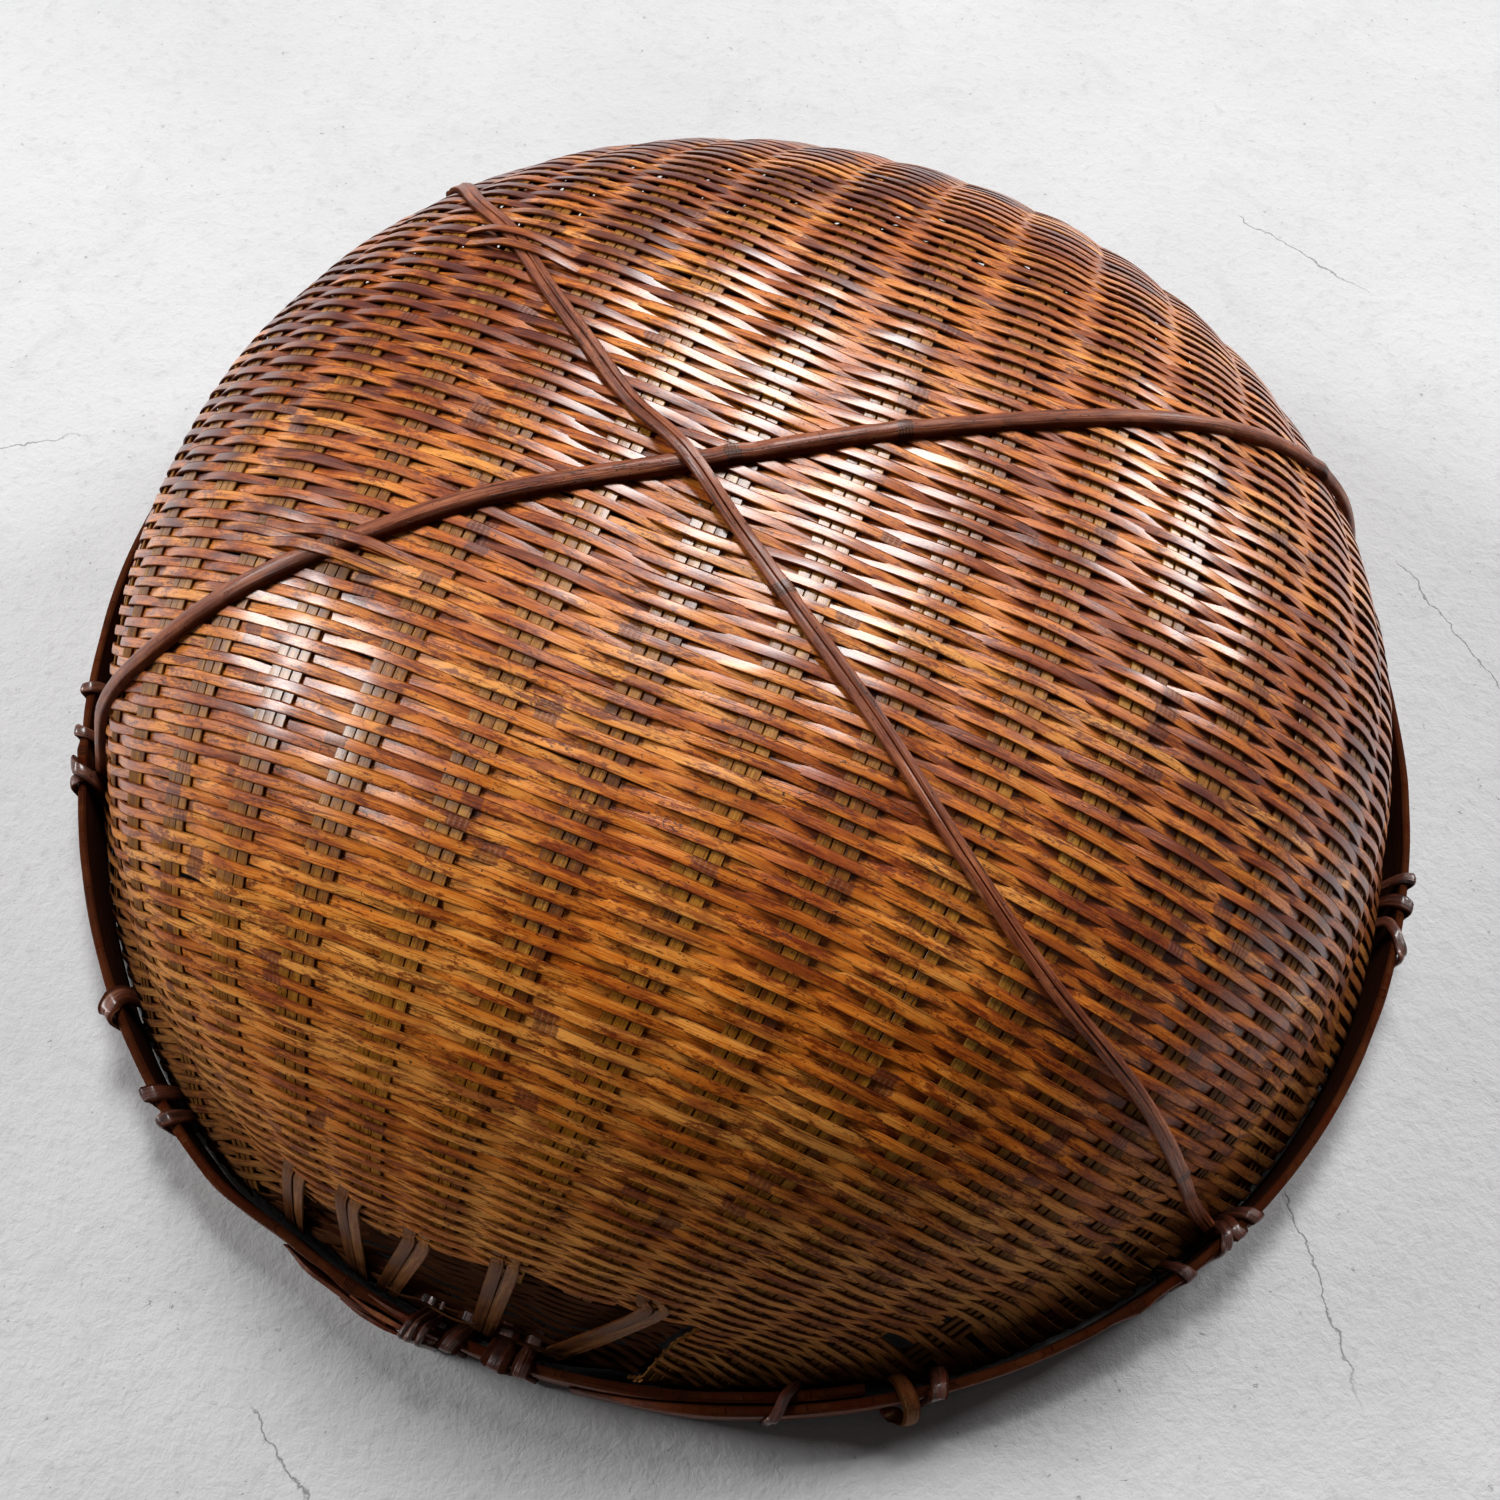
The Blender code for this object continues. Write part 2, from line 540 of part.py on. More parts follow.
def sticks(collection):
    """The two crossed sticks: B lies on the weave and A passes over it."""
    right = stick_places(STICK_B_RIGHT_SHARES, STICK_B_RIGHT_DEGREES, BENT_GAP)
    left = stick_places(STICK_B_LEFT_SHARES, STICK_B_LEFT_DEGREES, BENT_GAP)
    left[0] = (*left[0][:2], STICK_B_LEFT_LIFT)
    stick("stick_b", left + right, STICK_B_RIM_DEGREES, (STICK_B_WIDTH, STICK_B_WIDTH),
          STICK_B_THICKNESS, STICK_B_CROWN, collection)
    crossing = STICK_A_FAR_SHARES[-1] * DOME_LENGTH
    cross_way = math.radians(STICK_A_FAR_DEGREES[-1])
    middle = Vector((crossing * math.cos(cross_way), crossing * math.sin(cross_way)))
    shares = STICK_A_FAR_SHARES + STICK_A_NEAR_SHARES
    directions = STICK_A_FAR_DEGREES + STICK_A_NEAR_DEGREES
    places = []
    for arc, way, lift in stick_places(shares, directions, BENT_GAP):
        off = (Vector((arc * math.cos(way), arc * math.sin(way))) - middle).length
        places.append((arc, way, lift + OVER_STICK_B * step_up(off, CROSSING_HALF, CROSSING_RUN)))
    stick("stick_a", places, STICK_A_RIM_DEGREES, STICK_A_WIDTHS,
          STICK_A_THICKNESS, STICK_A_CROWN, collection)


def weft_over(name, place, clear, collection):
    """A length of weft that leaves the weave, passes over a stick and goes back down."""
    share, degrees, run_degrees = place
    arc, way, run = share * DOME_LENGTH, math.radians(degrees), math.radians(run_degrees)
    middle = Vector((arc * math.cos(way), arc * math.sin(way)))
    along = Vector((math.cos(run), math.sin(run)))
    path, normals = [], []
    for i in range(WEFT_STEPS + 1):
        off = WEFT_HALF_LENGTH * (2 * i / WEFT_STEPS - 1)
        spot = middle + along * off
        lift = BENT_GAP + clear * step_up(abs(off), WEFT_PLATEAU_HALF, WEFT_RUN)
        arc, way = spot.length, math.atan2(spot.y, spot.x)
        path.append(dome(arc, way, lift))
        normals.append((dome(arc, way, lift + BENT_GAP) - path[-1]).normalized())
    strip(name, path, normals, [WEFT_WIDTH] * len(path), WEFT_THICKNESS, WEAVE_LOOK, collection)


def bare_warps(collection):
    """Pairs of warps lying bare outside the weave, from its worn edge down behind the hoop."""
    foot_arc = arc_at_height(WARP_END_HEIGHT)
    for number, (share, degrees, rim_degrees) in enumerate(WARP_PAIRS, start=1):
        start, end = math.radians(degrees), math.radians(rim_degrees)
        for hand, name in ((-1, "left"), (1, "right")):
            places = []
            for t in (0.0, 0.5, 0.8, 1.0):
                arc = share * DOME_LENGTH * (1 - t) + foot_arc * t
                aside = hand * (WARP_WIDTH + WARP_PAIR_GAP) / 2 / outline(arc)[0]
                places.append((arc, start + (end - start) * t + aside, BENT_GAP))
            path, normals = over_dome(places, 3)
            strip(f"bare_warp_{number}_{name}", path, normals, [WARP_WIDTH] * len(path),
                  WARP_THICKNESS, WARP_LOOK, collection)


def loose_curl(collection):
    """A loose end of rattan that comes out of the weave and curls over the hoop."""
    way = math.radians(CURL_DEGREES)
    top = HOOP_TOP + LASH_GAP
    face = rim_face(CURL_DEGREES)
    centre = top - CURL_RADIUS
    points = [bent(wall_radius(top, LASH_GAP), way, top), bent(face - CURL_RADIUS / 2, way, top)]
    for turn in range(0, 181, 30):
        lean = math.radians(90 - turn)
        points.append(bent(face + LASH_GAP + CURL_RADIUS * math.cos(lean) * (turn > 0), way,
                           centre + CURL_RADIUS * math.sin(lean)))
    axis = Vector((-math.sin(way), math.cos(way), 0.0))
    normals = []
    for i in range(len(points)):
        tangent = points[min(i + 1, len(points) - 1)] - points[max(i - 1, 0)]
        normals.append(axis.cross(tangent).normalized() * -1)
    strip("loose_curl", points, normals, [CURL_WIDTH] * len(points), CURL_THICKNESS,
          RATTAN_LOOK, collection)


def build():
    """The whole basket in a collection of its own."""
    for old in list(bpy.data.objects):
        bpy.data.objects.remove(old, do_unlink=True)
    basket = bpy.data.collections.new("zaru_basket")
    bpy.context.scene.collection.children.link(basket)
    woven_shell(basket)
    outer_hoop(basket)
    inner_band(basket)
    splint(basket)
    sticks(basket)
    for number, place in enumerate(WEFTS_OVER_A, start=1):
        weft_over(f"weft_over_stick_a_{number}", place, OVER_STICK_A, basket)
    for number, place in enumerate(WEFTS_OVER_B, start=1):
        weft_over(f"weft_over_stick_b_{number}", place, OVER_STICK_B, basket)
    bare_warps(basket)
    for name, degrees, slant, width, under in LASHINGS:
        lashing(name, degrees, slant, width, under, basket)
    for name, degrees, turns, slant, under in KNOTS:
        knot(name, degrees, turns, slant, under, basket)
    loose_curl(basket)


build()
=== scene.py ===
import math
from functools import partialmethod

import bpy
import numpy as np
from mathutils import Matrix


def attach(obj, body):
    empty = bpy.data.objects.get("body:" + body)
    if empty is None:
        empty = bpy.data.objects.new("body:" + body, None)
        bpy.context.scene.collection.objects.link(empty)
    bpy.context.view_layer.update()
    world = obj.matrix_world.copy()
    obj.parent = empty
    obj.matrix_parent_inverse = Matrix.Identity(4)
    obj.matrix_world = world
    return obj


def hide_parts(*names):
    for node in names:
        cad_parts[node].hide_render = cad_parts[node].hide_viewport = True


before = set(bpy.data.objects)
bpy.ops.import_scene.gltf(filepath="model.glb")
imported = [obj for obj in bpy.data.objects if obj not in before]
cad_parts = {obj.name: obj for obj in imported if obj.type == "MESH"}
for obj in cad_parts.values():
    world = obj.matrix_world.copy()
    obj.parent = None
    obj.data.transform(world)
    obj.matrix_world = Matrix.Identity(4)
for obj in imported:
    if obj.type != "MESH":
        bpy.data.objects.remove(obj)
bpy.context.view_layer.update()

# The dome of the weave, as the part's source has it: metres, and degrees for the lobes
RIM_RADIUS = 0.260
HOOP_THICKNESS = 0.0035
RIM_STAND_OFF = 0.0126
DOME_HEIGHT = 0.175
DOME_FOOT_HEIGHT = 0.013
DOME_FOOT_RADIUS = RIM_RADIUS - HOOP_THICKNESS - RIM_STAND_OFF
FLARE = 0.0075
FLARE_HEIGHT = 0.050
SHOULDER_POWER = 3.07
CROWN_POWER = 1.94
FOOT = 0.0021
RIM_BENDS = ((2, 0.0012, -27.0), (3, 0.0028, 29.0), (4, 0.0026, -38.0))
CROWN_BENDS = ((2, 0.0023, 55.0), (3, 0.0041, 1.6))
CROWN_LEAN = (-0.0030, -0.0020)
TABLE_STEPS = 2000

# The loose foot of the weave, spread out against the hoop
FOOT_SPREAD = 0.0070
FOOT_SPREAD_HEIGHTS = (0.010, 0.044)
SEAT_GAP = 0.0004
HOOP_DIP = (231.0, 240.0)
HOOP_END = 284.0
# How far out a point is taken to find which way a face looks
PROBE = 0.002


def ease(value):
    value = np.clip(value, 0, 1)
    return value * value * (3 - 2 * value)


def hoop_dip(degrees):
    """How far the hoop has come in to lie within its first stretch, from 0 to 1."""
    return ease((degrees - HOOP_DIP[0]) / (HOOP_DIP[1] - HOOP_DIP[0]))


def hoop_inside(angle):
    """Radius of the hoop's inside, smaller where its last stretch lies within its first."""
    way = np.degrees(angle) % 360
    dip = hoop_dip(way) * ease((HOOP_END + 3 - way) / 3)
    return RIM_RADIUS - HOOP_THICKNESS - (HOOP_THICKNESS + SEAT_GAP) * dip


def foot_spread(height):
    """How far the loose foot of the weave spreads out at a height."""
    low, high = FOOT_SPREAD_HEIGHTS
    return FOOT_SPREAD * (1 - ease((height - low) / (high - low)))


def dome_table():
    """Distance along the outer face, radius and height, from the crown down to the edge."""
    fall = np.linspace(0.0, math.pi / 2, TABLE_STEPS)
    radius = DOME_FOOT_RADIUS * np.sin(fall) ** (2 / SHOULDER_POWER)
    height = DOME_FOOT_HEIGHT + (DOME_HEIGHT - DOME_FOOT_HEIGHT) * np.cos(fall) ** (2 / CROWN_POWER)
    foot = np.linspace(DOME_FOOT_HEIGHT, FOOT, TABLE_STEPS // 10)[1:]
    radius = np.concatenate([radius, np.full(len(foot), DOME_FOOT_RADIUS)])
    height = np.concatenate([height, foot])
    radius = radius + FLARE * np.clip(1 - height / FLARE_HEIGHT, 0, None) ** 2
    return np.concatenate([[0.0], np.cumsum(np.hypot(np.diff(radius), np.diff(height)))]), radius, height


ARC, ARC_RADIUS, ARC_HEIGHT = dome_table()
LENGTH = float(ARC[-1])


def bend(bends, angle):
    """Radial push of the lobes in a table of bends."""
    return sum(size * np.cos(lobes * (angle - math.radians(way))) for lobes, size, way in bends)


def bent(radius, angle, height):
    """Points in space, pushed by the lobes of the rim below and of the crown above."""
    rise = height / DOME_HEIGHT
    push = (1 - rise) * bend(RIM_BENDS, angle) + rise * bend(CROWN_BENDS, angle)
    reach = radius * (1 + push / RIM_RADIUS)
    return np.stack([reach * np.cos(angle) + rise * CROWN_LEAN[0],
                     reach * np.sin(angle) + rise * CROWN_LEAN[1], height + 0 * reach], -1)


def on_map(x, y, lift=0.0):
    """Points in space of points on the unrolled dome, lifted along its normal."""
    arc, angle = np.hypot(x, y), np.arctan2(y, x)
    step = LENGTH / TABLE_STEPS * 4
    low, high = np.clip(arc - step, 0, None), np.clip(arc + step, None, LENGTH)
    run = np.interp(high, ARC, ARC_RADIUS) - np.interp(low, ARC, ARC_RADIUS)
    drop = np.interp(high, ARC, ARC_HEIGHT) - np.interp(low, ARC, ARC_HEIGHT)
    size = np.hypot(run, drop)
    height = np.interp(arc, ARC, ARC_HEIGHT)
    radius = np.interp(arc, ARC, ARC_RADIUS) + foot_spread(height)
    radius = np.minimum(radius, hoop_inside(angle) - 2 * SEAT_GAP) - lift * drop / size
    return bent(radius, angle, height + lift * run / size)


# The weave on the unrolled dome, in shares of its length: a runs along the wefts at the crown and
# b towards the back. Each weft keeps one value of the first sum, each warp group of the second.
# What each power adds was fitted by a separate program, to strips measured in the photograph
WEAVE_TURN = math.radians(-16.0)
POWERS = [(m, degree - m) for degree in range(6) for m in range(degree + 1)]
WEFT_TERMS = (
    0.0, 1.0, 0.0641, 0.0, 0.08, -0.098, 0.0, -0.0033, -0.5306, -0.1249,
    0.0, -0.024, 0.0052, -0.1137, -0.0319, 0.0, -0.0176, -0.1659, 0.0252, 0.399, 0.1139,
)
WARP_TERMS = (
    0.201, 0.329, 9.69, -0.153, 0.554, 0.097, -2.066, 3.206, -0.12, 2.976,
    0.059, -0.273, 1.406, 0.543, -0.263, 1.329, 4.094, 0.369, -6.776, -0.079, -2.173,
)


def terms(table, a, b):
    """Value and slopes of a sum of powers."""
    value, by_a, by_b = np.zeros_like(a), np.zeros_like(a), np.zeros_like(a)
    powers_a, powers_b = ([x ** n for n in range(6)] for x in (a, b))
    for (m, n), share in zip(POWERS, table):
        value += share * powers_a[m] * powers_b[n]
        if m:
            by_a += share * m * powers_a[m - 1] * powers_b[n]
        if n:
            by_b += share * n * powers_a[m] * powers_b[n - 1]
    return value, by_a, by_b


def settle(a, b, weft, warp, rounds=4):
    """The place where both sums have the values asked for, from a place near it."""
    for _ in range(rounds):
        w, wa, wb = terms(WEFT_TERMS, a, b)
        u, ua, ub = terms(WARP_TERMS, a, b)
        off_w, off_u = w - weft, u - warp
        size = ua * wb - ub * wa
        size = np.where(np.abs(size) < 0.5, 0.5, size)
        a = a - np.clip((off_u * wb - off_w * ub) / size, -0.05, 0.05)
        b = b - np.clip((ua * off_w - wa * off_u) / size, -0.05, 0.05)
    return a, b


def unroll(a, b):
    """Map coordinates in metres from the weave's own."""
    return (LENGTH * (a * math.cos(WEAVE_TURN) - b * math.sin(WEAVE_TURN)),
            LENGTH * (a * math.sin(WEAVE_TURN) + b * math.cos(WEAVE_TURN)))


def trace(weft, warp):
    """Places on a grid of weft values by warp values: map coordinates, or nan off the dome."""
    rows, columns = weft.shape
    a_grid, b_grid = np.full(weft.shape, np.nan), np.full(weft.shape, np.nan)
    middle = int(np.argmin(np.abs(warp[0])))
    centre = int(np.argmin(np.abs(weft[:, middle])))
    a_mid, b_mid = np.zeros(rows), np.zeros(rows)
    for way in (1, -1):
        a, b = np.zeros(1), np.zeros(1)
        row = centre
        while 0 <= row < rows:
            a, b = settle(a, b, weft[row:row + 1, middle], warp[row:row + 1, middle])
            a_mid[row], b_mid[row] = a[0], b[0]
            row += way
    for way in (1, -1):
        a, b = a_mid.copy(), b_mid.copy()
        live = np.ones(rows, bool)
        column = middle
        while 0 <= column < columns:
            a, b = settle(a, b, weft[:, column], warp[:, column], 3)
            live &= np.hypot(a, b) < 0.997
            a_grid[live, column], b_grid[live, column] = a[live], b[live]
            a, b = np.where(live, a, 0.0), np.where(live, b, 0.0)
            column += way
    return unroll(a_grid, b_grid)


# Sections of strips: across in halves of the width, and up in shares of the thickness
FLAT = (
    (-1.0, -0.30), (-0.975, 0.20), (-0.90, 0.41), (0.0, 0.52), (0.90, 0.41), (0.975, 0.20), (1.0, -0.30),
    (0.88, -0.50), (-0.88, -0.50),
)
DOMED = (
    (-1.0, -0.30), (-0.90, 0.12), (-0.62, 0.42), (0.0, 0.56), (0.62, 0.42), (0.90, 0.12), (1.0, -0.30),
    (0.78, -0.50), (-0.78, -0.50),
)
HOOP_SECTION = (
    (-1.0, -0.22), (-0.99, 0.10), (-0.93, 0.38), (-0.80, 0.48), (-0.4, 0.50), (0.0, 0.50), (0.4, 0.50),
    (0.80, 0.48), (0.93, 0.38), (0.99, 0.10), (1.0, -0.22), (0.96, -0.48), (0.0, -0.5), (-0.96, -0.48),
)
SPLIT_SECTION = (
    (-1.0, -0.30), (-0.97, 0.10), (-0.86, 0.36), (-0.60, 0.46), (-0.30, 0.50), (-0.12, 0.46), (-0.04, 0.12),
    (0.04, 0.12), (0.12, 0.48), (0.35, 0.52), (0.65, 0.46), (0.88, 0.34), (0.97, 0.08), (1.0, -0.30),
    (0.85, -0.5), (0.0, -0.5), (-0.85, -0.5),
)

# What each point of a strip tells its material
KEYS = ("along", "across", "seed", "knot", "stain", "age", "raise", "tint")
SHARP_ANGLE = math.radians(27)


def column(values):
    """A number, or one for each point, as a column."""
    return np.asarray(values, float).reshape(-1, 1)


class Bundle:
    """Strips with closed sections, gathered into one mesh."""

    def __init__(self):
        self.points, self.quads, self.caps, self.values, self.count = [], [], [], [], 0

    def add(self, line, width, thickness, along, seed, spots, section=FLAT, rough=0.0, tint=None, face=None):
        """One strip: its middle line with its frame, its sizes, and the values its material reads.

        The spots are its knot, stain, age (which also carries painted shade) and raise. The face is the
        width that the painted shade along its edges is told from, where that isn't its own.
        """
        middle, side, normal = line
        n, m = len(middle), len(section)
        over, up = np.array(section).T
        across = over * column(width) / 2
        up = up * column(thickness) + rough
        middle, side, normal = middle[:, None], side[:, None], normal[:, None]
        self.points.append((middle + side * across[..., None] + normal * up[..., None]).reshape(-1, 3))
        i, j = np.arange(n - 1)[:, None] * m, np.arange(m)[None, :]
        k = (j + 1) % m
        self.quads.append(self.count + np.stack([i + j, i + k, i + m + k, i + m + j], -1).reshape(-1, 4))
        order = np.concatenate([np.arange(m)[::-1], (n - 1) * m + np.arange(m)])
        self.caps.append((self.count + order).reshape(2, m))
        value = np.zeros((n, m, len(KEYS)), np.float32)
        value[:, :, 0] = column(along)
        value[:, :, 1] = across if face is None else over * face / 2
        value[:, :, 2] = seed
        for place, spot in enumerate(spots, start=3):
            value[:, :, place] = spot if np.ndim(spot) == 2 else column(spot)
        value[:, :, 7] = column(seed if tint is None else tint)
        self.values.append(value.reshape(-1, len(KEYS)))
        self.count += n * m

    def take(self, other):
        """Another bundle's strips, added to these."""
        self.points += other.points
        self.quads += [quads + self.count for quads in other.quads]
        self.caps += [caps + self.count for caps in other.caps]
        self.values += other.values
        self.count += other.count

    def build(self, name, material, node_slot, *nodes):
        """The mesh as a piece on the basket, standing for the nodes named."""
        points = np.concatenate(self.points).astype(np.float32)
        faces = self.quads + self.caps
        sizes = np.concatenate([np.full(len(part), part.shape[1]) for part in faces]).astype(np.int32)
        starts = np.concatenate([[0], np.cumsum(sizes)[:-1]]).astype(np.int32)
        loops = np.concatenate([part.ravel() for part in faces]).astype(np.int32)
        mesh = bpy.data.meshes.new(name)
        for part, key, data in ((mesh.vertices, "co", points), (mesh.loops, "vertex_index", loops),
                                (mesh.polygons, "loop_start", starts)):
            part.add(len(data))
            part.foreach_set(key, data.ravel())
        mesh.polygons.foreach_set("loop_total", sizes)
        mesh.update(calc_edges=True)
        mesh.shade_smooth()
        mesh.set_sharp_from_angle(angle=SHARP_ANGLE)
        values = np.concatenate(self.values)
        for place, key in enumerate(KEYS):
            layer = mesh.attributes.new(key, "FLOAT", "POINT")
            layer.data.foreach_set("value", np.ascontiguousarray(values[:, place]))
        mesh.materials.append(material)
        piece = bpy.data.objects.new(name, mesh)
        bpy.context.scene.collection.objects.link(piece)
        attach(piece, "root")
        if nodes:
            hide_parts(*nodes)


def single(name, material, node_slot, node, *values, **more):
    """A piece of one strip."""
    made = Bundle()
    made.add(*values, **more)
    made.build(name, material, node_slot, node)


def unit(vectors):
    return vectors / np.maximum(np.linalg.norm(vectors, axis=1, keepdims=True), 1e-9)


def follow(middle, facing, twist=0.0):
    """A strip's frame along a line, its back turned away from a direction at each point."""
    tangent = unit(np.gradient(middle, axis=0))
    side = unit(np.cross(facing, tangent))
    normal = np.cross(tangent, side)
    turn = column(twist)
    return middle, side * np.cos(turn) + normal * np.sin(turn), normal * np.cos(turn) - side * np.sin(turn)


def frames(x, y, lift, twist=0.0):
    """Middle line, sideways and outward directions of a strip over map points."""
    middle = on_map(x, y, lift)
    return follow(middle, on_map(x, y, lift + PROBE) - middle, twist)


def curve(points, steps):
    """A smooth line through points."""
    points = np.asarray(points, float)
    ends = np.concatenate([[2 * points[0] - points[1]], points, [2 * points[-1] - points[-2]]])
    t = np.arange(steps)[:, None] / steps
    parts = [0.5 * (2 * p1 + (p2 - p0) * t + (2 * p0 - 5 * p1 + 4 * p2 - p3) * t ** 2
                    + (3 * p1 - p0 - 3 * p2 + p3) * t ** 3)
             for p0, p1, p2, p3 in zip(ends, ends[1:], ends[2:], ends[3:])]
    return np.concatenate(parts + [points[-1:]])


def soften(points, rounds=3):
    """Points with their corners cut again and again."""
    for _ in range(rounds):
        near, far = points[:-1] * 0.75 + points[1:] * 0.25, points[:-1] * 0.25 + points[1:] * 0.75
        cut = np.stack([near, far], 1).reshape(-1, 3)
        points = np.concatenate([points[:1], cut[1:-1], points[-1:]])
    return points


def run_of(points):
    """Length along a line at each of its points."""
    return np.concatenate([[0.0], np.cumsum(np.linalg.norm(np.diff(points, axis=0), axis=1))])


def wander(rng, count, size, span, step=1.0):
    """Slow random drift along a strip: knots every span, smoothly joined."""
    knots = rng.normal(0.0, size, int(count * step / span) + 4)
    at = np.arange(count) * step / span
    i = at.astype(int)
    t = ease(at - i)
    return knots[i] * (1 - t) + knots[i + 1] * t


def uneven(rng, count, size, span, section=FLAT):
    """Unevenness of a strip's surface: a slow drift for each corner of its section."""
    return np.stack([wander(rng, count, size, span) for _ in section], 1)


def stretches(good, shortest=5):
    """Index ranges where a mask holds without a break."""
    edges = np.flatnonzero(np.diff(np.concatenate([[0], good.astype(int), [0]])))
    return [(a, b) for a, b in zip(edges[::2], edges[1::2]) if b - a >= shortest]


# Materials
def srgb(red, green, blue):
    """A colour written in 0-255 as a linear one."""
    return tuple(((c / 255 + 0.055) / 1.055) ** 2.4 if c > 10 else c / 255 / 12.92
                 for c in (red, green, blue))


class Look:
    """The node tree of a material or world, built a node at a time."""

    def __init__(self, owner):
        self.owner = owner
        owner.use_nodes = True
        self.tree = owner.node_tree
        self.colour = None

    def node(self, kind, inputs=(), **settings):
        made = self.tree.nodes.new("ShaderNode" + kind)
        for key, value in settings.items():
            setattr(made, key, value)
        for key, value in dict(inputs).items():
            self.put(made.inputs[key], value)
        return made

    def put(self, socket, value):
        if isinstance(value, bpy.types.NodeSocket):
            self.tree.links.new(value, socket)
        elif isinstance(value, tuple) and len(value) == 3 and socket.type == "RGBA":
            socket.default_value = (*value, 1.0)
        else:
            socket.default_value = value

    def attribute(self, name):
        return self.node("Attribute", attribute_name=name).outputs["Fac"]

    def calc(self, operation, first, second=0.0, third=0.0):
        made = self.node("Math", operation=operation)
        for socket, value in zip(made.inputs, (first, second, third)):
            self.put(socket, value)
        return made.outputs[0]

    plus = partialmethod(calc, "ADD")
    minus = partialmethod(calc, "SUBTRACT")
    times = partialmethod(calc, "MULTIPLY")
    times_plus = partialmethod(calc, "MULTIPLY_ADD")
    larger = partialmethod(calc, "MAXIMUM")
    size = partialmethod(calc, "ABSOLUTE")

    def vector(self, x, y, z):
        return self.node("CombineXYZ", {"X": x, "Y": y, "Z": z}).outputs[0]

    def noise(self, vector, scale, detail, roughness, distortion=0.0):
        made = self.node("TexNoise", {"Vector": vector, "Scale": scale, "Detail": detail,
                                      "Roughness": roughness, "Distortion": distortion})
        return made.outputs["Fac"]

    def ramp(self, value, stops):
        """Colours by a value, from stops that give a place and a colour in 0-255."""
        made = self.node("ValToRGB", {"Fac": value})
        band = made.color_ramp
        while len(band.elements) < len(stops):
            band.elements.new(0.5)
        for element, (place, *colour) in zip(band.elements, stops):
            element.position = place
            element.color = (*srgb(*colour), 1.0)
        self.colour = made.outputs["Color"]

    def between(self, value, low, high, out_low=0.0, out_high=1.0):
        made = self.node("MapRange", {"Value": value, "From Min": low, "From Max": high,
                                      "To Min": out_low, "To Max": out_high}, clamp=True)
        return made.outputs[0]

    def paint(self, share, colour):
        """A colour in 0-255 laid over what is there, by its share."""
        made = self.node("Mix", data_type="RGBA")
        for place, value in ((0, share), (6, self.colour), (7, srgb(*colour))):
            self.put(made.inputs[place], value)
        self.colour = made.outputs[2]

    def bump(self, height, strength, distance):
        made = self.node("Bump", {"Height": height, "Strength": strength, "Distance": distance})
        return made.outputs["Normal"]

    def finish(self, roughness, normal, others):
        """The values of the material's shader."""
        shader = self.tree.nodes["Principled BSDF"]
        values = {"Base Color": self.colour, "Roughness": roughness, "Normal": normal, **others}
        for key, value in values.items():
            self.put(shader.inputs[key], value)
        return self.owner


# The front of the basket is rubbed dull: from the first of these places to the second
DULL_FROM = -0.09
DULL_TO = -0.17
# Colours that the strips' materials share
GRIT = (108, 36, 8)
NODE_RIB = (176, 120, 84)
SPECK = (34, 12, 4)
FIBRE_GROOVE_SHADE = (52, 18, 0)
SCRATCH = (36, 12, 4)
STRIP_EDGE_SHADE = (46, 16, 2)


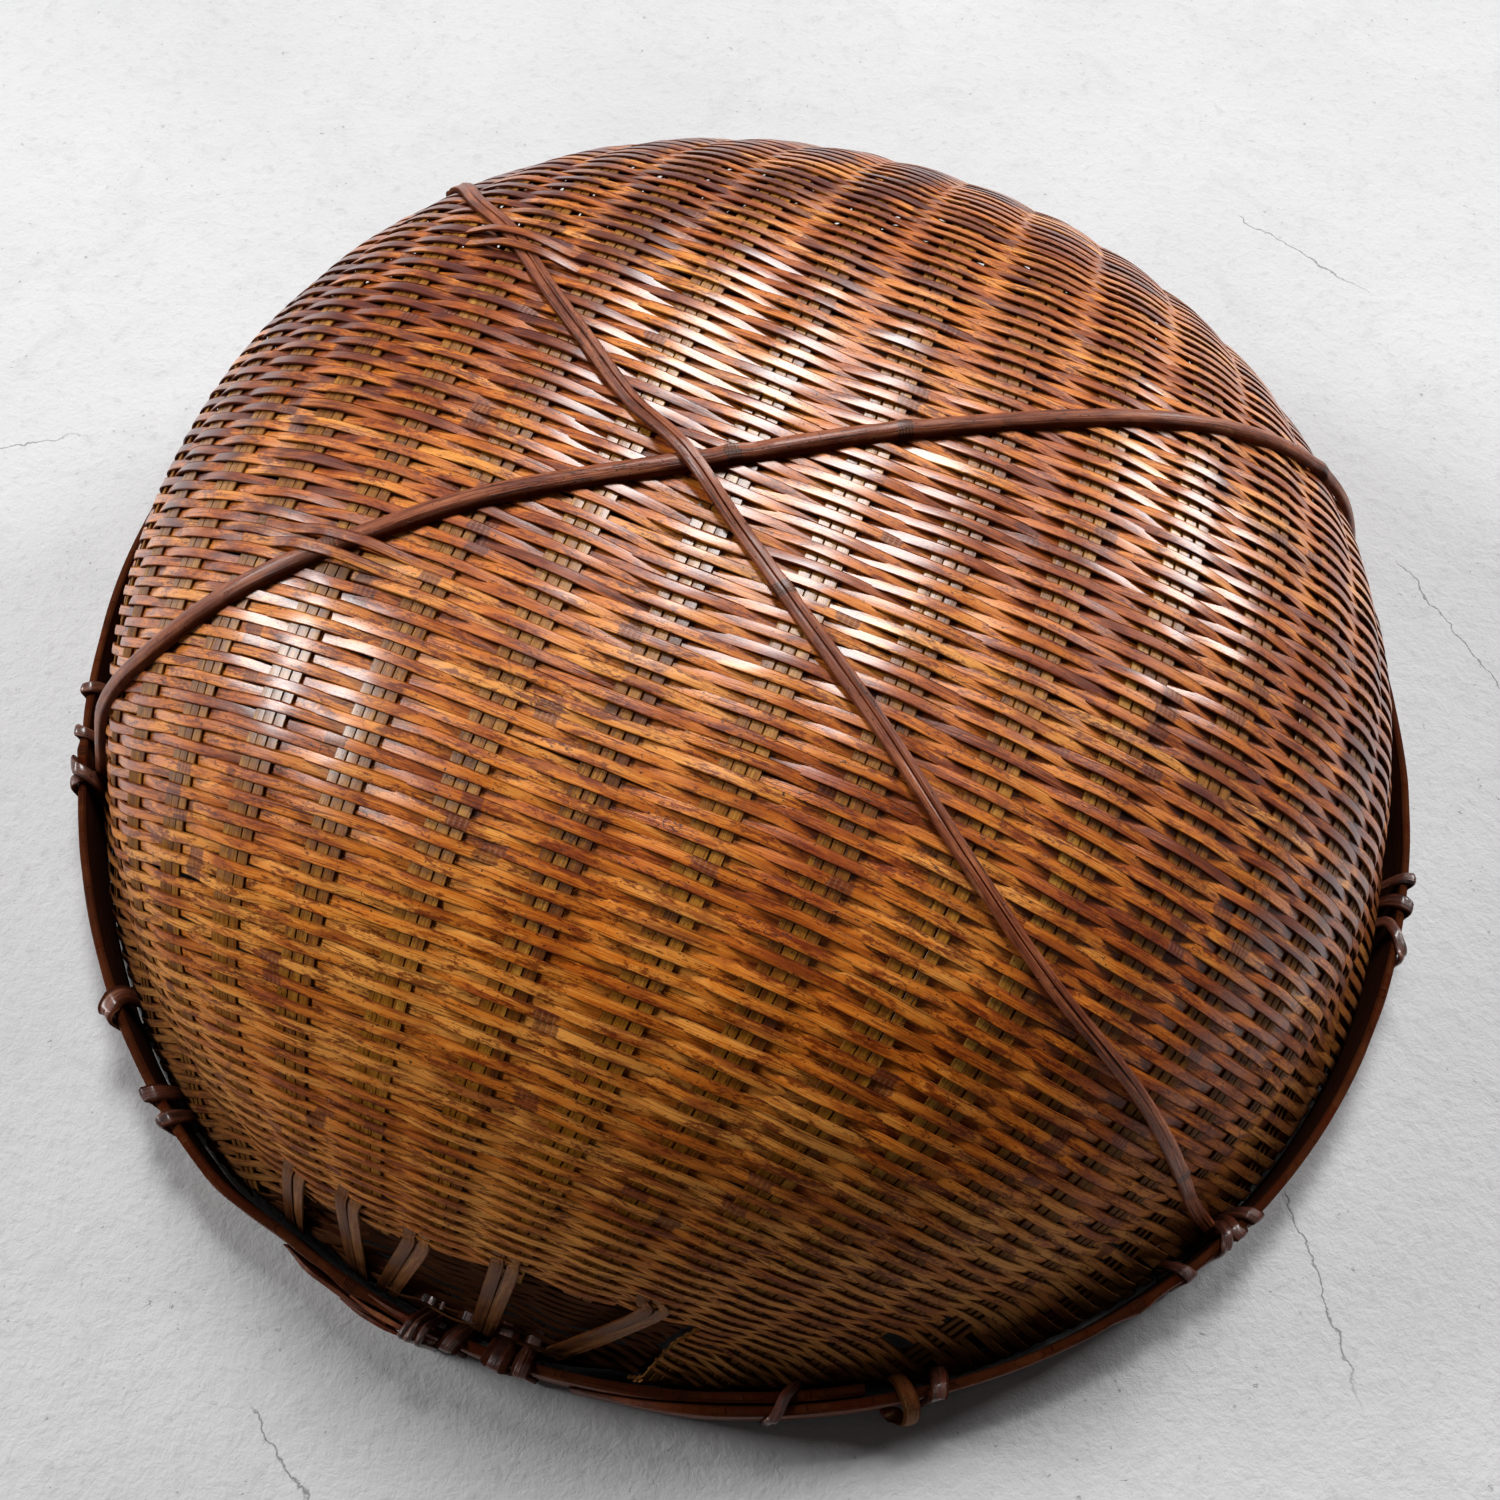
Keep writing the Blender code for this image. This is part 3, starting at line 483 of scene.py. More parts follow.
def strip_look(name, stops, worn, stained, aged_and_shaded, gloss, coat, fibre=2600.0, fibre_depth=0.0002,
               spread=0.30, edge=1.0, mottle=1.0, dulling=2.2):
    """Split bamboo or rattan: fibres along the strip, mottling, growth nodes, wear, stains and age; also
    painted shade in the fibre grooves, along the strip edges and wherever the age value stands for shade.
    """
    look = Look(bpy.data.materials.new(name))
    along, across, seed, knot, stain, age, raised, tint = (look.attribute(key) for key in KEYS)
    shift = look.times(seed, 237.0)

    def grain(long, wide, detail, roughness, distortion=0.0, more=0.0):
        """Noise of its own fineness along and across the strip."""
        at = look.vector(look.times(along, long), look.times(across, wide), look.plus(shift, more))
        return look.noise(at, 1.0, detail, roughness, distortion)

    fibres = grain(30.0, fibre, 3.0, 0.62)
    blotches = grain(55.0, 240.0, 4.0, 0.62, 0.6)
    patches = grain(34.0, 190.0, 5.0, 0.70, 0.8, 9.0)
    tone = look.plus(tint, look.between(blotches, 0.28, 0.72, -spread, spread))
    tone = look.plus(tone, look.between(fibres, 0.3, 0.7, -0.20, 0.20))
    look.ramp(tone, stops)

    # Rubbed patches and red grit
    rub = look.plus(patches, look.times_plus(raised, 0.09, look.times(stain, 0.05)))
    look.paint(look.between(rub, 0.57, 0.66, 0.0, 0.75 * mottle), worn)
    grit = look.plus(look.times(grain(70.0, 380.0, 3.0, 0.6, 0.5, 17.0), 0.6),
                     look.times(grain(420.0, 1100.0, 3.0, 0.7, 0.4, 23.0), 0.4))
    look.paint(look.between(grit, 0.505, 0.585, 0.0, 0.85 * mottle), GRIT)

    # Age, with painted shade where the age value carries it, and stains
    look.paint(look.times(age, look.between(blotches, 0.25, 0.7, 0.75, 1.0)), aged_and_shaded)
    soaked = look.between(look.plus(blotches, look.times(fibres, 0.5)), 0.55, 0.95, 1.6, 0.2)
    look.paint(look.calc("MINIMUM", look.times(stain, soaked), 0.92), stained)

    # Growth nodes: a dark band with paler ribs
    distance = look.size(look.plus(knot, look.between(patches, 0.3, 0.7, -0.0016, 0.0016)))
    band = look.between(distance, 0.0034, 0.0040, 1.0, 0.0)
    ribs = look.size(look.minus(look.calc("MODULO", look.plus(knot, 1.0), 0.0017), 0.00085))
    ribs = look.times(look.between(ribs, 0.00015, 0.00045, 1.0, 0.0), look.between(blotches, 0.4, 0.6))
    ring = look.times(band, ribs)
    look.paint(look.times(band, look.between(fibres, 0.25, 0.7, 0.95, 0.5)), stained)
    look.paint(look.times(ring, 0.36), NODE_RIB)

    # Specks and scratches, with painted shade in the fibre grooves and along the strip edges where
    # neighbours meet
    dark = look.between(grain(700.0, 1200.0, 1.0, 0.5, 0.0, 5.0), 0.70, 0.75, 0.0, 0.85)
    look.paint(dark, SPECK)
    # Painted shade in the fibre grooves, where the fibres' bump is lowest
    look.paint(look.between(fibres, 0.30, 0.40, 0.85, 0.0), FIBRE_GROOVE_SHADE)
    scratch = look.size(look.minus(grain(60.0, 300.0, 2.0, 0.5, 1.5, 31.0), 0.5))
    scratch = look.times(look.between(scratch, 0.004, 0.012, 1.0, 0.0),
                         look.between(grain(26.0, 60.0, 1.0, 0.5, 0.0, 37.0), 0.56, 0.60))
    look.paint(look.times(scratch, 0.75), SCRATCH)
    # Painted shade along the strip edges, where neighbouring strips meet and the gaps between them fall dark
    rim = look.plus(look.size(across), look.between(fibres, 0.3, 0.7, -0.00025, 0.00025))
    rim = look.between(rim, 0.00140 * edge, 0.00180 * edge, 0.0, 0.74)
    look.paint(rim, STRIP_EDGE_SHADE)

    # Gloss, which age, handling and the bare edges take away, and relief
    rough = look.between(blotches, 0.3, 0.7, gloss - 0.07, gloss + 0.13)
    rough = look.plus(rough, look.times_plus(age, 0.40, look.times(rim, 0.60)))
    place = look.node("SeparateXYZ", {"Vector": look.node("TexCoord").outputs["Object"]}).outputs["Y"]
    handled = look.between(place, DULL_FROM, DULL_TO, 0.0, 0.18 * dulling)
    dull = look.larger(look.times(rim, 2.0), look.times_plus(age, dulling, handled))
    shine = look.larger(look.minus(1.0, dull), 0.0)
    height = look.plus(look.plus(fibres, look.times(ring, 0.6)), look.times(blotches, 0.8))
    height = look.minus(height, look.times(look.larger(dark, scratch), 0.6))
    return look.finish(rough, look.bump(height, 0.65, fibre_depth), {
        "Coat Roughness": 0.22, "Coat Weight": look.times(shine, coat),
        "Specular IOR Level": look.times_plus(shine, 0.40, 0.05)})


# Colours by tone, from dark to light, of each kind of strip
WEFT_STOPS = ((0.0, 110, 44, 5), (0.3, 176, 86, 20), (0.6, 215, 122, 37), (1.0, 242, 162, 74))
# The warps' colours are their own, set a little darker as painted shade for where they lie deep in the
# windows between floats
WARP_STOPS = ((0.0, 88, 46, 8), (0.35, 138, 84, 18), (0.7, 172, 112, 30), (1.0, 196, 140, 54))
BARE_STOPS = ((0.0, 62, 32, 14), (0.35, 102, 60, 28), (0.7, 130, 82, 42), (1.0, 158, 110, 64))
HOOP_STOPS = ((0.0, 48, 22, 12), (0.35, 96, 48, 26), (0.7, 138, 74, 40), (1.0, 174, 106, 62))
STICK_STOPS = ((0.0, 80, 34, 20), (0.35, 140, 72, 42), (0.7, 176, 102, 64), (1.0, 206, 140, 98))
RATTAN_STOPS = ((0.0, 32, 16, 14), (0.35, 70, 38, 30), (0.7, 108, 62, 46), (1.0, 150, 96, 70))
weft_look = strip_look("weft_bamboo", WEFT_STOPS, (146, 66, 28), (88, 34, 26), (98, 70, 46), 0.34, 0.65,
                       edge=0.94, dulling=5.0)
warp_look = strip_look("warp_bamboo", WARP_STOPS, (150, 88, 40), (76, 38, 24), (66, 44, 28), 0.36, 0.5,
                       edge=1.15, mottle=0.6, dulling=5.0)
bare_look = strip_look("bare_bamboo", BARE_STOPS, (126, 80, 44), (60, 32, 18), (62, 34, 18), 0.56, 0.0,
                       1500.0, 0.0003, edge=1.3, mottle=0.7)
# Near-black aged colour: on the hoop's inner face it is painted shade
hoop_look = strip_look("hoop_bamboo", HOOP_STOPS, (120, 60, 32), (34, 16, 10), (24, 13, 8), 0.40, 0.3,
                       1300.0, 0.0006, 0.36, edge=6.6)
stick_look = strip_look("stick_bamboo", STICK_STOPS, (134, 70, 40), (50, 22, 12), (64, 34, 22), 0.40, 0.25,
                        1300.0, 0.0006, 0.34, edge=1.7, mottle=0.6)
rattan_look = strip_look("rattan", RATTAN_STOPS, (104, 66, 52), (32, 18, 14), (44, 28, 22), 0.30, 0.7,
                         1300.0, 0.0006, 0.42, edge=1.35, mottle=0.7, dulling=0.8)


# Wefts: strips that pass over and under the warp groups in turn
WEFT_PITCH = 0.00315
WEFT_SPREAD = 0.0037
WEFT_THICKNESS = 0.0008
WEFT_REACH = 1.15
FRONT_PACKING = 0.00062
BACK_PACKING = 0.00020
WEAVE_DEPTH = -0.0016
WEAVE_RISE = 0.00108
WARP_SPAN = (-12.0, 20.0)
WARP_STEP = 0.1
FIRST_FLOAT = 20
NODE_GAP = (0.19, 0.36)
NODE_REACH = 0.9
STAINS = (
    (-0.42, 0.36, 0.42, 0.56), (-0.05, 0.62, 0.42, 0.32), (0.45, 0.50, 0.32, 0.24),
    (-0.62, -0.05, 0.30, 0.45), (0.66, -0.10, 0.30, 0.45), (0.0, -0.1, 1.0, 0.10),
)
CLUMP_REACH = 1.05
# The worn front edge, where wefts are gone or loose and those behind show
WORN_WARPS = (-4.3, 3.7)
WORN_EDGE = -0.2785
WORN_SLANT = 0.003
WARPS_BEYOND_WORN = 0.004
LOOSE_DEGREES = (-93, -52)
LOOSE_SHARE = 0.885
LOOSE_DROPPED = 0.22
INNER_SHARE = 0.978
INNER_KEPT = (0.85, 0.97)
INNER_PLAIN_WARP = -1.4
INNER_WIDTH = 0.0034
INNER_DEPTH = 0.0022


def pitch_at(weft):
    """The wefts are packed closer at the front edge and a little at the back."""
    front = np.clip((-0.17 - weft) / 0.06, 0, 1)
    back = np.clip((weft - 0.05) / 0.15, 0, 1)
    return WEFT_PITCH - FRONT_PACKING * front - BACK_PACKING * back


def weft_values():
    """Places of the wefts at the crown, from the front of the dome to its back."""
    values = [0.0]
    while values[-1] < WEFT_REACH * LENGTH:
        values.append(values[-1] + pitch_at(values[-1]))
    while values[0] > -WEFT_REACH * LENGTH:
        values.insert(0, values[0] - pitch_at(values[0]))
    return np.array(values)


def stains(a, b):
    """How stained the weave is: darkest at the back left, fainter over the rest."""
    return sum(depth * np.exp(-((a - x) ** 2 + (b - y) ** 2) / size ** 2) for x, y, size, depth in STAINS)


def clumps(seed, cells=46):
    """Smooth random values over the weave's coordinates, for stains that come in groups."""
    grid = np.random.default_rng(seed).random((cells, cells))

    def value(a, b):
        i, j = (np.clip((at + CLUMP_REACH) / (2 * CLUMP_REACH) * (cells - 2), 0, cells - 2) for at in (a, b))
        m, n = i.astype(int), j.astype(int)
        x, y = i - m, j - n
        return ((grid[m, n] * (1 - x) + grid[m + 1, n] * x) * (1 - y)
                + (grid[m, n + 1] * (1 - x) + grid[m + 1, n + 1] * x) * y)
    return value


def node_distance(along, places):
    """Signed distance to the nearest growth node."""
    gaps = along[:, None] - np.array(places)[None, :]
    return gaps[np.arange(len(along)), np.argmin(np.abs(gaps), axis=1)]


def new_nodes(rng):
    """Places of the growth nodes along a weft."""
    places, here = [], -NODE_REACH + rng.uniform(0, 0.4)
    while here < NODE_REACH:
        places.append(here)
        here += rng.uniform(*NODE_GAP)
    return places


def weave_place(x, y):
    """The weave's own coordinates of map points, their share of the way to the edge, and degrees."""
    a = (x * math.cos(WEAVE_TURN) + y * math.sin(WEAVE_TURN)) / LENGTH
    b = (-x * math.sin(WEAVE_TURN) + y * math.cos(WEAVE_TURN)) / LENGTH
    return a, b, np.hypot(x, y) / LENGTH, np.degrees(np.arctan2(y, x))


def at_worn(warp):
    """Whether a warp crosses the worn front edge, and the last sound weft there."""
    return (warp > WORN_WARPS[0]) & (warp < WORN_WARPS[1]), WORN_EDGE + WORN_SLANT * warp


GROUPED = clumps(5)
TINGE = clumps(6, 30)
rng = np.random.default_rng(41)
WEFTS = weft_values()
WARPS = np.arange(WARP_SPAN[0], WARP_SPAN[1], WARP_STEP)
drift = np.stack([wander(rng, len(WARPS), 0.00022, 0.7, WARP_STEP) for _ in WEFTS])
weft_x, weft_y = trace((WEFTS[:, None] + drift) / LENGTH, np.broadcast_to(WARPS, (len(WEFTS), len(WARPS))))
on_worn, last_sound = at_worn(WARPS)

wefts, inner = Bundle(), Bundle()
places = new_nodes(rng)
for row, value in enumerate(WEFTS):
    seed = float(np.clip(rng.normal(0.5, 0.13), 0.05, 0.95))
    size = rng.normal(1.0, 0.06)
    if rng.random() > 0.42:
        places = new_nodes(rng)
    floats = rng.random(len(WARPS) + 2 * FIRST_FLOAT)
    dropped, inside_kept, ragged = rng.random(), rng.random(), rng.normal(0, 0.0012)
    good = np.isfinite(weft_x[row])
    if good.sum() < 6:
        continue
    a, b, share, degrees = weave_place(weft_x[row], weft_y[row])
    worn = on_worn & (value < last_sound + ragged)
    loose = (degrees > LOOSE_DEGREES[0]) & (degrees < LOOSE_DEGREES[1]) & (share > LOOSE_SHARE + 4 * ragged)
    keep = good & ~worn & ~(loose & (dropped < LOOSE_DROPPED))
    front = float(np.clip((-0.14 - value) / 0.07, 0, 1))
    for first, last in stretches(keep):
        use = slice(first, last)
        x, y, warp = weft_x[row, use], weft_y[row, use], WARPS[use]
        count = len(x)
        wave = np.cos(math.pi * (warp + row))
        number = np.floor(warp + 0.5).astype(int) + FIRST_FLOAT
        rise = WEAVE_RISE * (1 - 0.34 * front)
        lift = WEAVE_DEPTH + rise * wave * (1 + 0.12 * floats[number])
        lift = lift + wander(rng, count, 0.00008, 0.5, WARP_STEP)
        width = WEFT_SPREAD * pitch_at(value) / WEFT_PITCH * size
        width = width * (1 + wander(rng, count, 0.035, 0.8, WARP_STEP) + rng.normal(0, 0.012, count))
        roll = wander(rng, count, 0.055 - 0.02 * front, 0.5, WARP_STEP)
        roll = roll + 0.05 * (1 - front) * np.sin(math.pi * (warp + row))
        line = frames(x, y, lift, roll)
        along = run_of(line[0])
        along = along - np.interp(0.0, warp, along) + rng.normal(0, 0.001)
        spread = stains(a[use], b[use])
        chance = 0.55 * floats[number] + 0.45 * GROUPED(a[use], b[use])
        reach = np.clip(0.5 + 0.5 * wave + 1.3 * (floats[number - 3] - 0.35), 0, 1)
        stain = np.clip((spread * 0.95 - chance) / 0.12, 0, 1) * reach * np.clip(spread * 1.7, 0.45, 1.0)
        stain = np.clip(stain + 0.06 * spread, 0, 1)
        # Age, greyer towards the rim and in the front rows, then near full at the foot from share 0.93 to
        # 0.98: there it is painted shade where the weave runs down behind the hoop
        age = np.clip((share[use] - 0.72) / 0.24, 0, 1) ** 1.2 * 0.75
        age = np.clip(age + front * 0.16, 0, 0.9)
        age = age + (0.99 - age) * ease((share[use] - 0.93) / 0.05)
        # The front rows are painted lighter: a painted fill light where the back lamp leaves them in shade
        tint = seed + 0.5 * (TINGE(a[use], b[use]) - 0.5) + 0.24 * front
        wefts.add(line, width, WEFT_THICKNESS, along, seed,
                  (node_distance(along, places), stain, age, np.clip(wave, 0, 1)),
                  tint=tint, face=WEFT_SPREAD * size)
    behind = (good & worn & (share < INNER_SHARE) & (inside_kept < INNER_KEPT[1])
              & ((WARPS > INNER_PLAIN_WARP) | (inside_kept < INNER_KEPT[0])))
    for first, last in stretches(behind):
        use = slice(first, last)
        x, y, warp = weft_x[row, use], weft_y[row, use], WARPS[use]
        count = len(x)
        sag = wander(rng, count, 0.0006, 0.9, WARP_STEP)
        lift = WEAVE_DEPTH - INNER_DEPTH + 0.0007 * np.cos(math.pi * (warp + row)) + sag * 0.5
        line = frames(x, y + sag, lift, wander(rng, count, 0.12, 0.5, WARP_STEP))
        inner.add(line, INNER_WIDTH * size, WEFT_THICKNESS, run_of(line[0]), seed, (0.3, 0.3, 0.93, 0.0))
wefts.build("woven_wefts", weft_look, "weave", "woven_shell")
inner.build("worn_wefts", bare_look, "weave")

# Warps, in groups of two or three
WARP_SLOT = 0.0042
WARP_SLOT_SHARE = 0.145
WARP_FILL = 0.95
WARP_THICKNESS = 0.0008
WARP_PLACES = np.arange(-1.12, 1.12, 0.012)
WARP_NUMBERS = np.arange(-9, 17)
BESIDE = 10


def warp_lines(numbers):
    """Map places of the warp groups' middles."""
    x, y = trace(*np.meshgrid(WARP_PLACES, numbers.astype(float), indexing="ij"))
    return x.T, y.T


warps = Bundle()
mid_x, mid_y = warp_lines(WARP_NUMBERS)
beside_x, beside_y = warp_lines(WARP_NUMBERS + 1 / BESIDE)
for row, number in enumerate(WARP_NUMBERS):
    strips = 3 if rng.random() < 0.85 else 2
    good = np.isfinite(mid_x[row]) & np.isfinite(beside_x[row])
    on_worn, last_sound = at_worn(number)
    worn = on_worn & (WARP_PLACES * LENGTH < last_sound - WARPS_BEYOND_WORN)
    for first, last in stretches(good & ~worn):
        use = slice(first, last)
        x, y = mid_x[row, use], mid_y[row, use]
        count = len(x)
        out_x, out_y = beside_x[row, use] - x, beside_y[row, use] - y
        gap = np.linalg.norm(on_map(x + out_x, y + out_y) - on_map(x, y), axis=1)
        slot = np.minimum(WARP_SLOT, gap * BESIDE * WARP_SLOT_SHARE)
        for place in range(strips):
            seed = float(np.clip(rng.normal(0.5, 0.15), 0.05, 0.95))
            off = (place - (strips - 1) / 2) * slot + wander(rng, count, 0.00015, 1.5, WARP_STEP)
            line = frames(x + out_x / gap * off, y + out_y / gap * off, WEAVE_DEPTH + 0.00010 * (place - 1),
                          wander(rng, count, 0.03, 1.0, WARP_STEP))
            along = run_of(line[0]) + rng.uniform(0, 0.4)
            age = np.clip((np.hypot(x, y) / LENGTH - 0.60) / 0.32, 0, 1) * 0.75
            nodes = [rng.uniform(0, 0.35), rng.uniform(0.4, 0.7), rng.uniform(0.8, 1.0)]
            warps.add(line, slot * WARP_FILL, WARP_THICKNESS, along, seed,
                      (node_distance(along, nodes), 0.1, age, 0.1))
warps.build("woven_warps", warp_look, "weave")


# Rim: hoop, band, splint and lashings
HOOP_HEIGHT = 0.024
HOOP_DEGREES = (-97.8, HOOP_END)
HOOP_TAPER = 11.0
HOOP_NODES = (0.19, 0.56, 0.93, 1.31, 1.545)
HOOP_JOINT = 270.1
BAND_THICKNESS = 0.0022
BAND_HEIGHT = 0.022
BAND_TILT = math.radians(-12)
BAND_START = 35.0
BAND_STEP_IN = 10.0
BAND_NODES = (0.3, 0.66, 1.0, 1.4)
BARE_DEGREES = (236, 266)
BARE_OUT = 0.0026
RISEN_DEGREES = (230, 256)
BAND_RISE = 0.009
WEAVE_DEEP = 0.0034
HOOP_TOP = FOOT + HOOP_HEIGHT
BAND_TOP = FOOT + BAND_HEIGHT
# Start, end, low, high, stand-off, thickness, tapers at both ends, seed and rise of each splinter
SPLINTERS = (
    (-121.5, -110.0, 0.0030, 0.0235, 0.0003, 0.0020, 0.30, 0.12, 0.48, 0.0),
    (-114.6, -107.4, 0.0236, 0.0268, 0.0002, 0.0016, 0.4, 0.3, 0.66, 0.0012),
    (-113.4, -107.9, 0.0266, 0.0292, -0.0030, 0.0015, 0.6, 0.3, 0.40, 0.0016),
    (-115.4, -109.4, 0.0180, 0.0225, 0.0026, 0.0014, 0.5, 0.4, 0.58, 0.0020),
)
SPLINT_TWIST = 0.10


def at_rim(radius, degrees, height):
    """Points round the bent rim."""
    return bent(radius, np.radians(degrees), height)


def outward_at(degrees):
    """Level directions away from the middle."""
    angle = np.radians(degrees)
    return np.stack([np.cos(angle), np.sin(angle), 0 * angle], -1)


def round_rim(degrees):
    """The level direction along the rim at a place."""
    angle = math.radians(degrees)
    return np.array([-math.sin(angle), math.cos(angle), 0.0])


def hoop_face(degrees):
    """Radius of the outer hoop's outside."""
    return RIM_RADIUS - (HOOP_THICKNESS + SEAT_GAP) * hoop_dip(degrees)


def outside(degrees):
    """Radius of the outermost lap at a place."""
    turned = degrees % 360
    if turned - 360 > HOOP_DEGREES[0] or turned < HOOP_DIP[0]:
        return RIM_RADIUS
    return float(hoop_face(turned))


def wall(height):
    """Radius of the weave's wall at a height, with its spread foot."""
    return float(np.interp(-height, -ARC_HEIGHT, ARC_RADIUS) + foot_spread(height))


def hoop():
    """The hoop as one long split with rounded edges, growth nodes and an uneven top."""
    rng = np.random.default_rng(7)
    way = np.arange(HOOP_DEGREES[0], HOOP_DEGREES[1] + 0.01, 1.0)
    taper = ease((way - HOOP_DEGREES[0]) / HOOP_TAPER)
    thickness = HOOP_THICKNESS * (0.30 + 0.70 * taper)
    face = hoop_face(way) - (HOOP_THICKNESS - thickness)
    height = HOOP_HEIGHT * (0.72 + 0.28 * taper) + wander(rng, len(way), 0.0003, 8.0)
    line = follow(at_rim(face - thickness / 2, way, FOOT + height / 2), outward_at(way))
    along = run_of(line[0])
    off = node_distance(along, HOOP_NODES)
    up = np.array(HOOP_SECTION)[:, 1]
    rough = uneven(rng, len(way), 0.00010, 3.0, HOOP_SECTION)
    swell = 0.0010 * np.exp(-(off / 0.0045) ** 2) - 0.0003 * np.exp(-((np.abs(off) - 0.011) / 0.004) ** 2)
    rough = np.clip(rough, -0.0002, 0.00018) + column(swell) * (up > 0)
    # The hoop's inner face takes nearly full age, so hoop_look paints it near black: painted shade on the
    # side turned in towards the weave
    age = np.clip(0.10 + 0.85 * (up < -0.3), 0, 0.97)[None, :]
    joint = np.exp(-((way - HOOP_JOINT) / 0.5) ** 4)
    single("hoop_outer", hoop_look, "hoop", "outer_hoop", line, height, thickness, along, 0.5,
           (off * 2.0, 0.15 + 0.8 * joint, age, 0.4), HOOP_SECTION, rough)


def foot_band():
    """The band inside the spread foot of the weave, its end lying behind its start."""
    rng = np.random.default_rng(8)
    way = np.arange(BAND_START, BAND_START + 360 + BAND_STEP_IN, 1.5)
    behind = BAND_THICKNESS + SEAT_GAP
    step_in = behind * ease((way - BAND_START - 360 + BAND_STEP_IN) / BAND_STEP_IN)
    lean = -math.tan(BAND_TILT) * BAND_HEIGHT / 2
    inside = np.minimum(wall(BAND_TOP) + lean, hoop_inside(np.radians(way)) - 2 * SEAT_GAP - lean)
    bare = ease((way - BARE_DEGREES[0]) / 6) * ease((BARE_DEGREES[1] - way) / 6)
    taller = BAND_RISE * ease((way - RISEN_DEGREES[0]) / 8) * ease((RISEN_DEGREES[1] - way) / 8)
    radius = inside - WEAVE_DEEP - SEAT_GAP - BAND_THICKNESS / 2 - step_in
    radius = radius + BARE_OUT * bare + taller / 2 * math.tan(BAND_TILT)
    height = FOOT + (BAND_HEIGHT + taller) / 2 + wander(rng, len(way), 0.0003, 9.0)
    middle = at_rim(radius, way, height)
    rough = uneven(rng, len(way), 0.0001, 4.0)
    along = run_of(middle)
    single("foot_band", hoop_look, "hoop", "inner_band", follow(middle, outward_at(way), BAND_TILT),
           BAND_HEIGHT + taller, BAND_THICKNESS, along, 0.45,
           (node_distance(along, BAND_NODES) * 2.0, 0.3, 0.45, 0.2), FLAT, rough)


def splint():
    """A patch strip on the hoop's outside, its end split into splinters that run under the lashing."""
    rng = np.random.default_rng(9)
    made = Bundle()
    for start, end, low, high, out, thickness, taper_in, taper_out, seed, rise in SPLINTERS:
        way = np.arange(start, end + 0.01, 0.5)
        t = np.linspace(0, 1, len(way))
        ends = np.minimum(t / taper_in, (1 - t) / taper_out)
        height = (low + high) / 2 + rise * t + wander(rng, len(way), 0.0002, 5.0)
        thick = thickness * np.clip(ends + 0.25, 0, 1)
        middle = at_rim(hoop_face(way % 360) + out + thick / 2, way, height)
        made.add(follow(middle, outward_at(way), SPLINT_TWIST), (high - low) * np.clip(ends, 0.12, 1) ** 0.7,
                 thick, run_of(middle) + seed, seed, (0.2, 0.2, 0.15, 0.5), FLAT,
                 uneven(rng, len(way), 0.00010, 3.0))
    made.build("splint_strip", hoop_look, "hoop", "hoop_splint")


hoop()
foot_band()
splint()


def ribbon(path, degrees, check, twist=0.0):
    """A strip's frame along a loop over the rim, with its back outward at the point to check."""
    facing = np.cross(unit(np.gradient(path, axis=0)), round_rim(degrees))
    line = follow(path, facing, twist)
    return follow(path, -facing) if line[2][check].dot(outward_at(degrees)) < 0 else line


def wrap(degrees, slant, width, seed, under=0.0, thick=0.0014, out=0.0, raised=0.0):
    """A turn of rattan from the weave out over the hoop, under the rim and up inside the band."""
    rng = np.random.default_rng(int(seed * 1000))
    slid = degrees + slant
    half = thick / 2
    face = outside(degrees) + half + 0.0001 + out
    top = HOOP_TOP + half + 0.0003 + raised
    seat = WEAVE_DEEP + SEAT_GAP + BAND_THICKNESS + 0.0018
    inner = float(hoop_inside(math.radians(degrees)))
    inner_top = wall(BAND_TOP) - seat
    inner_low = min(wall(FOOT + 0.004), inner) - seat - 0.0012
    inner = inner - half
    low = half + 0.0006
    corners = (
        (inner - 0.0052, slid, 0.0105), (inner - 0.0034, slid, 0.0175),
        (inner - 0.0014 - under, slid, HOOP_TOP - 0.0022),
        (inner + 0.0012 - under, (slid * 2 + degrees) / 3, top - 0.0002 + under * 0.8),
        ((inner + face) / 2, (slid + degrees) / 2, top + 0.0002 + under),
        (face - 0.0006, (slid + degrees * 3) / 4, top + 0.0002 + under * 0.3),
        (face + 0.0003, degrees, top - 0.0006), (face, degrees, top - 0.0050), (face, degrees, 0.013),
        (face, degrees, 0.0050), (face + 0.0002, degrees, half + 0.0011), (face - 0.0022, degrees, low),
        ((face + inner_low) / 2, degrees, low), (inner_low + 0.0020, degrees, low),
        (inner_low, degrees, 0.0035), ((inner_low + inner_top) / 2, (slid + degrees) / 2, 0.018),
        (inner_top, slid, BAND_TOP - 0.0015), (inner_top + 0.0016, slid, BAND_TOP + 0.0014),
        (inner_top + 0.0052, slid, BAND_TOP + 0.0006),
    )
    path = soften(at_rim(*np.array(corners).T))
    count = len(path)
    path = path + round_rim(degrees) * column(wander(rng, count, 0.00070, 26.0))
    line = ribbon(path, degrees, count // 2 - 6, wander(rng, count, 0.10, 24.0))
    size = width * (1 + wander(rng, count, 0.14, 22.0))
    made = Bundle()
    made.add(line, size, thick, run_of(path) + seed, seed, (0.2, 0.2, 0.2, 0.5), DOMED,
             uneven(rng, count, 0.00006, 8.0, DOMED))
    return made


def tie(node, *turns):
    """One or more turns as the piece that stands for a node."""
    made = Bundle()
    for turn in turns:
        made.take(turn)
    made.build("rattan_" + node, rattan_look, "rattan", node)


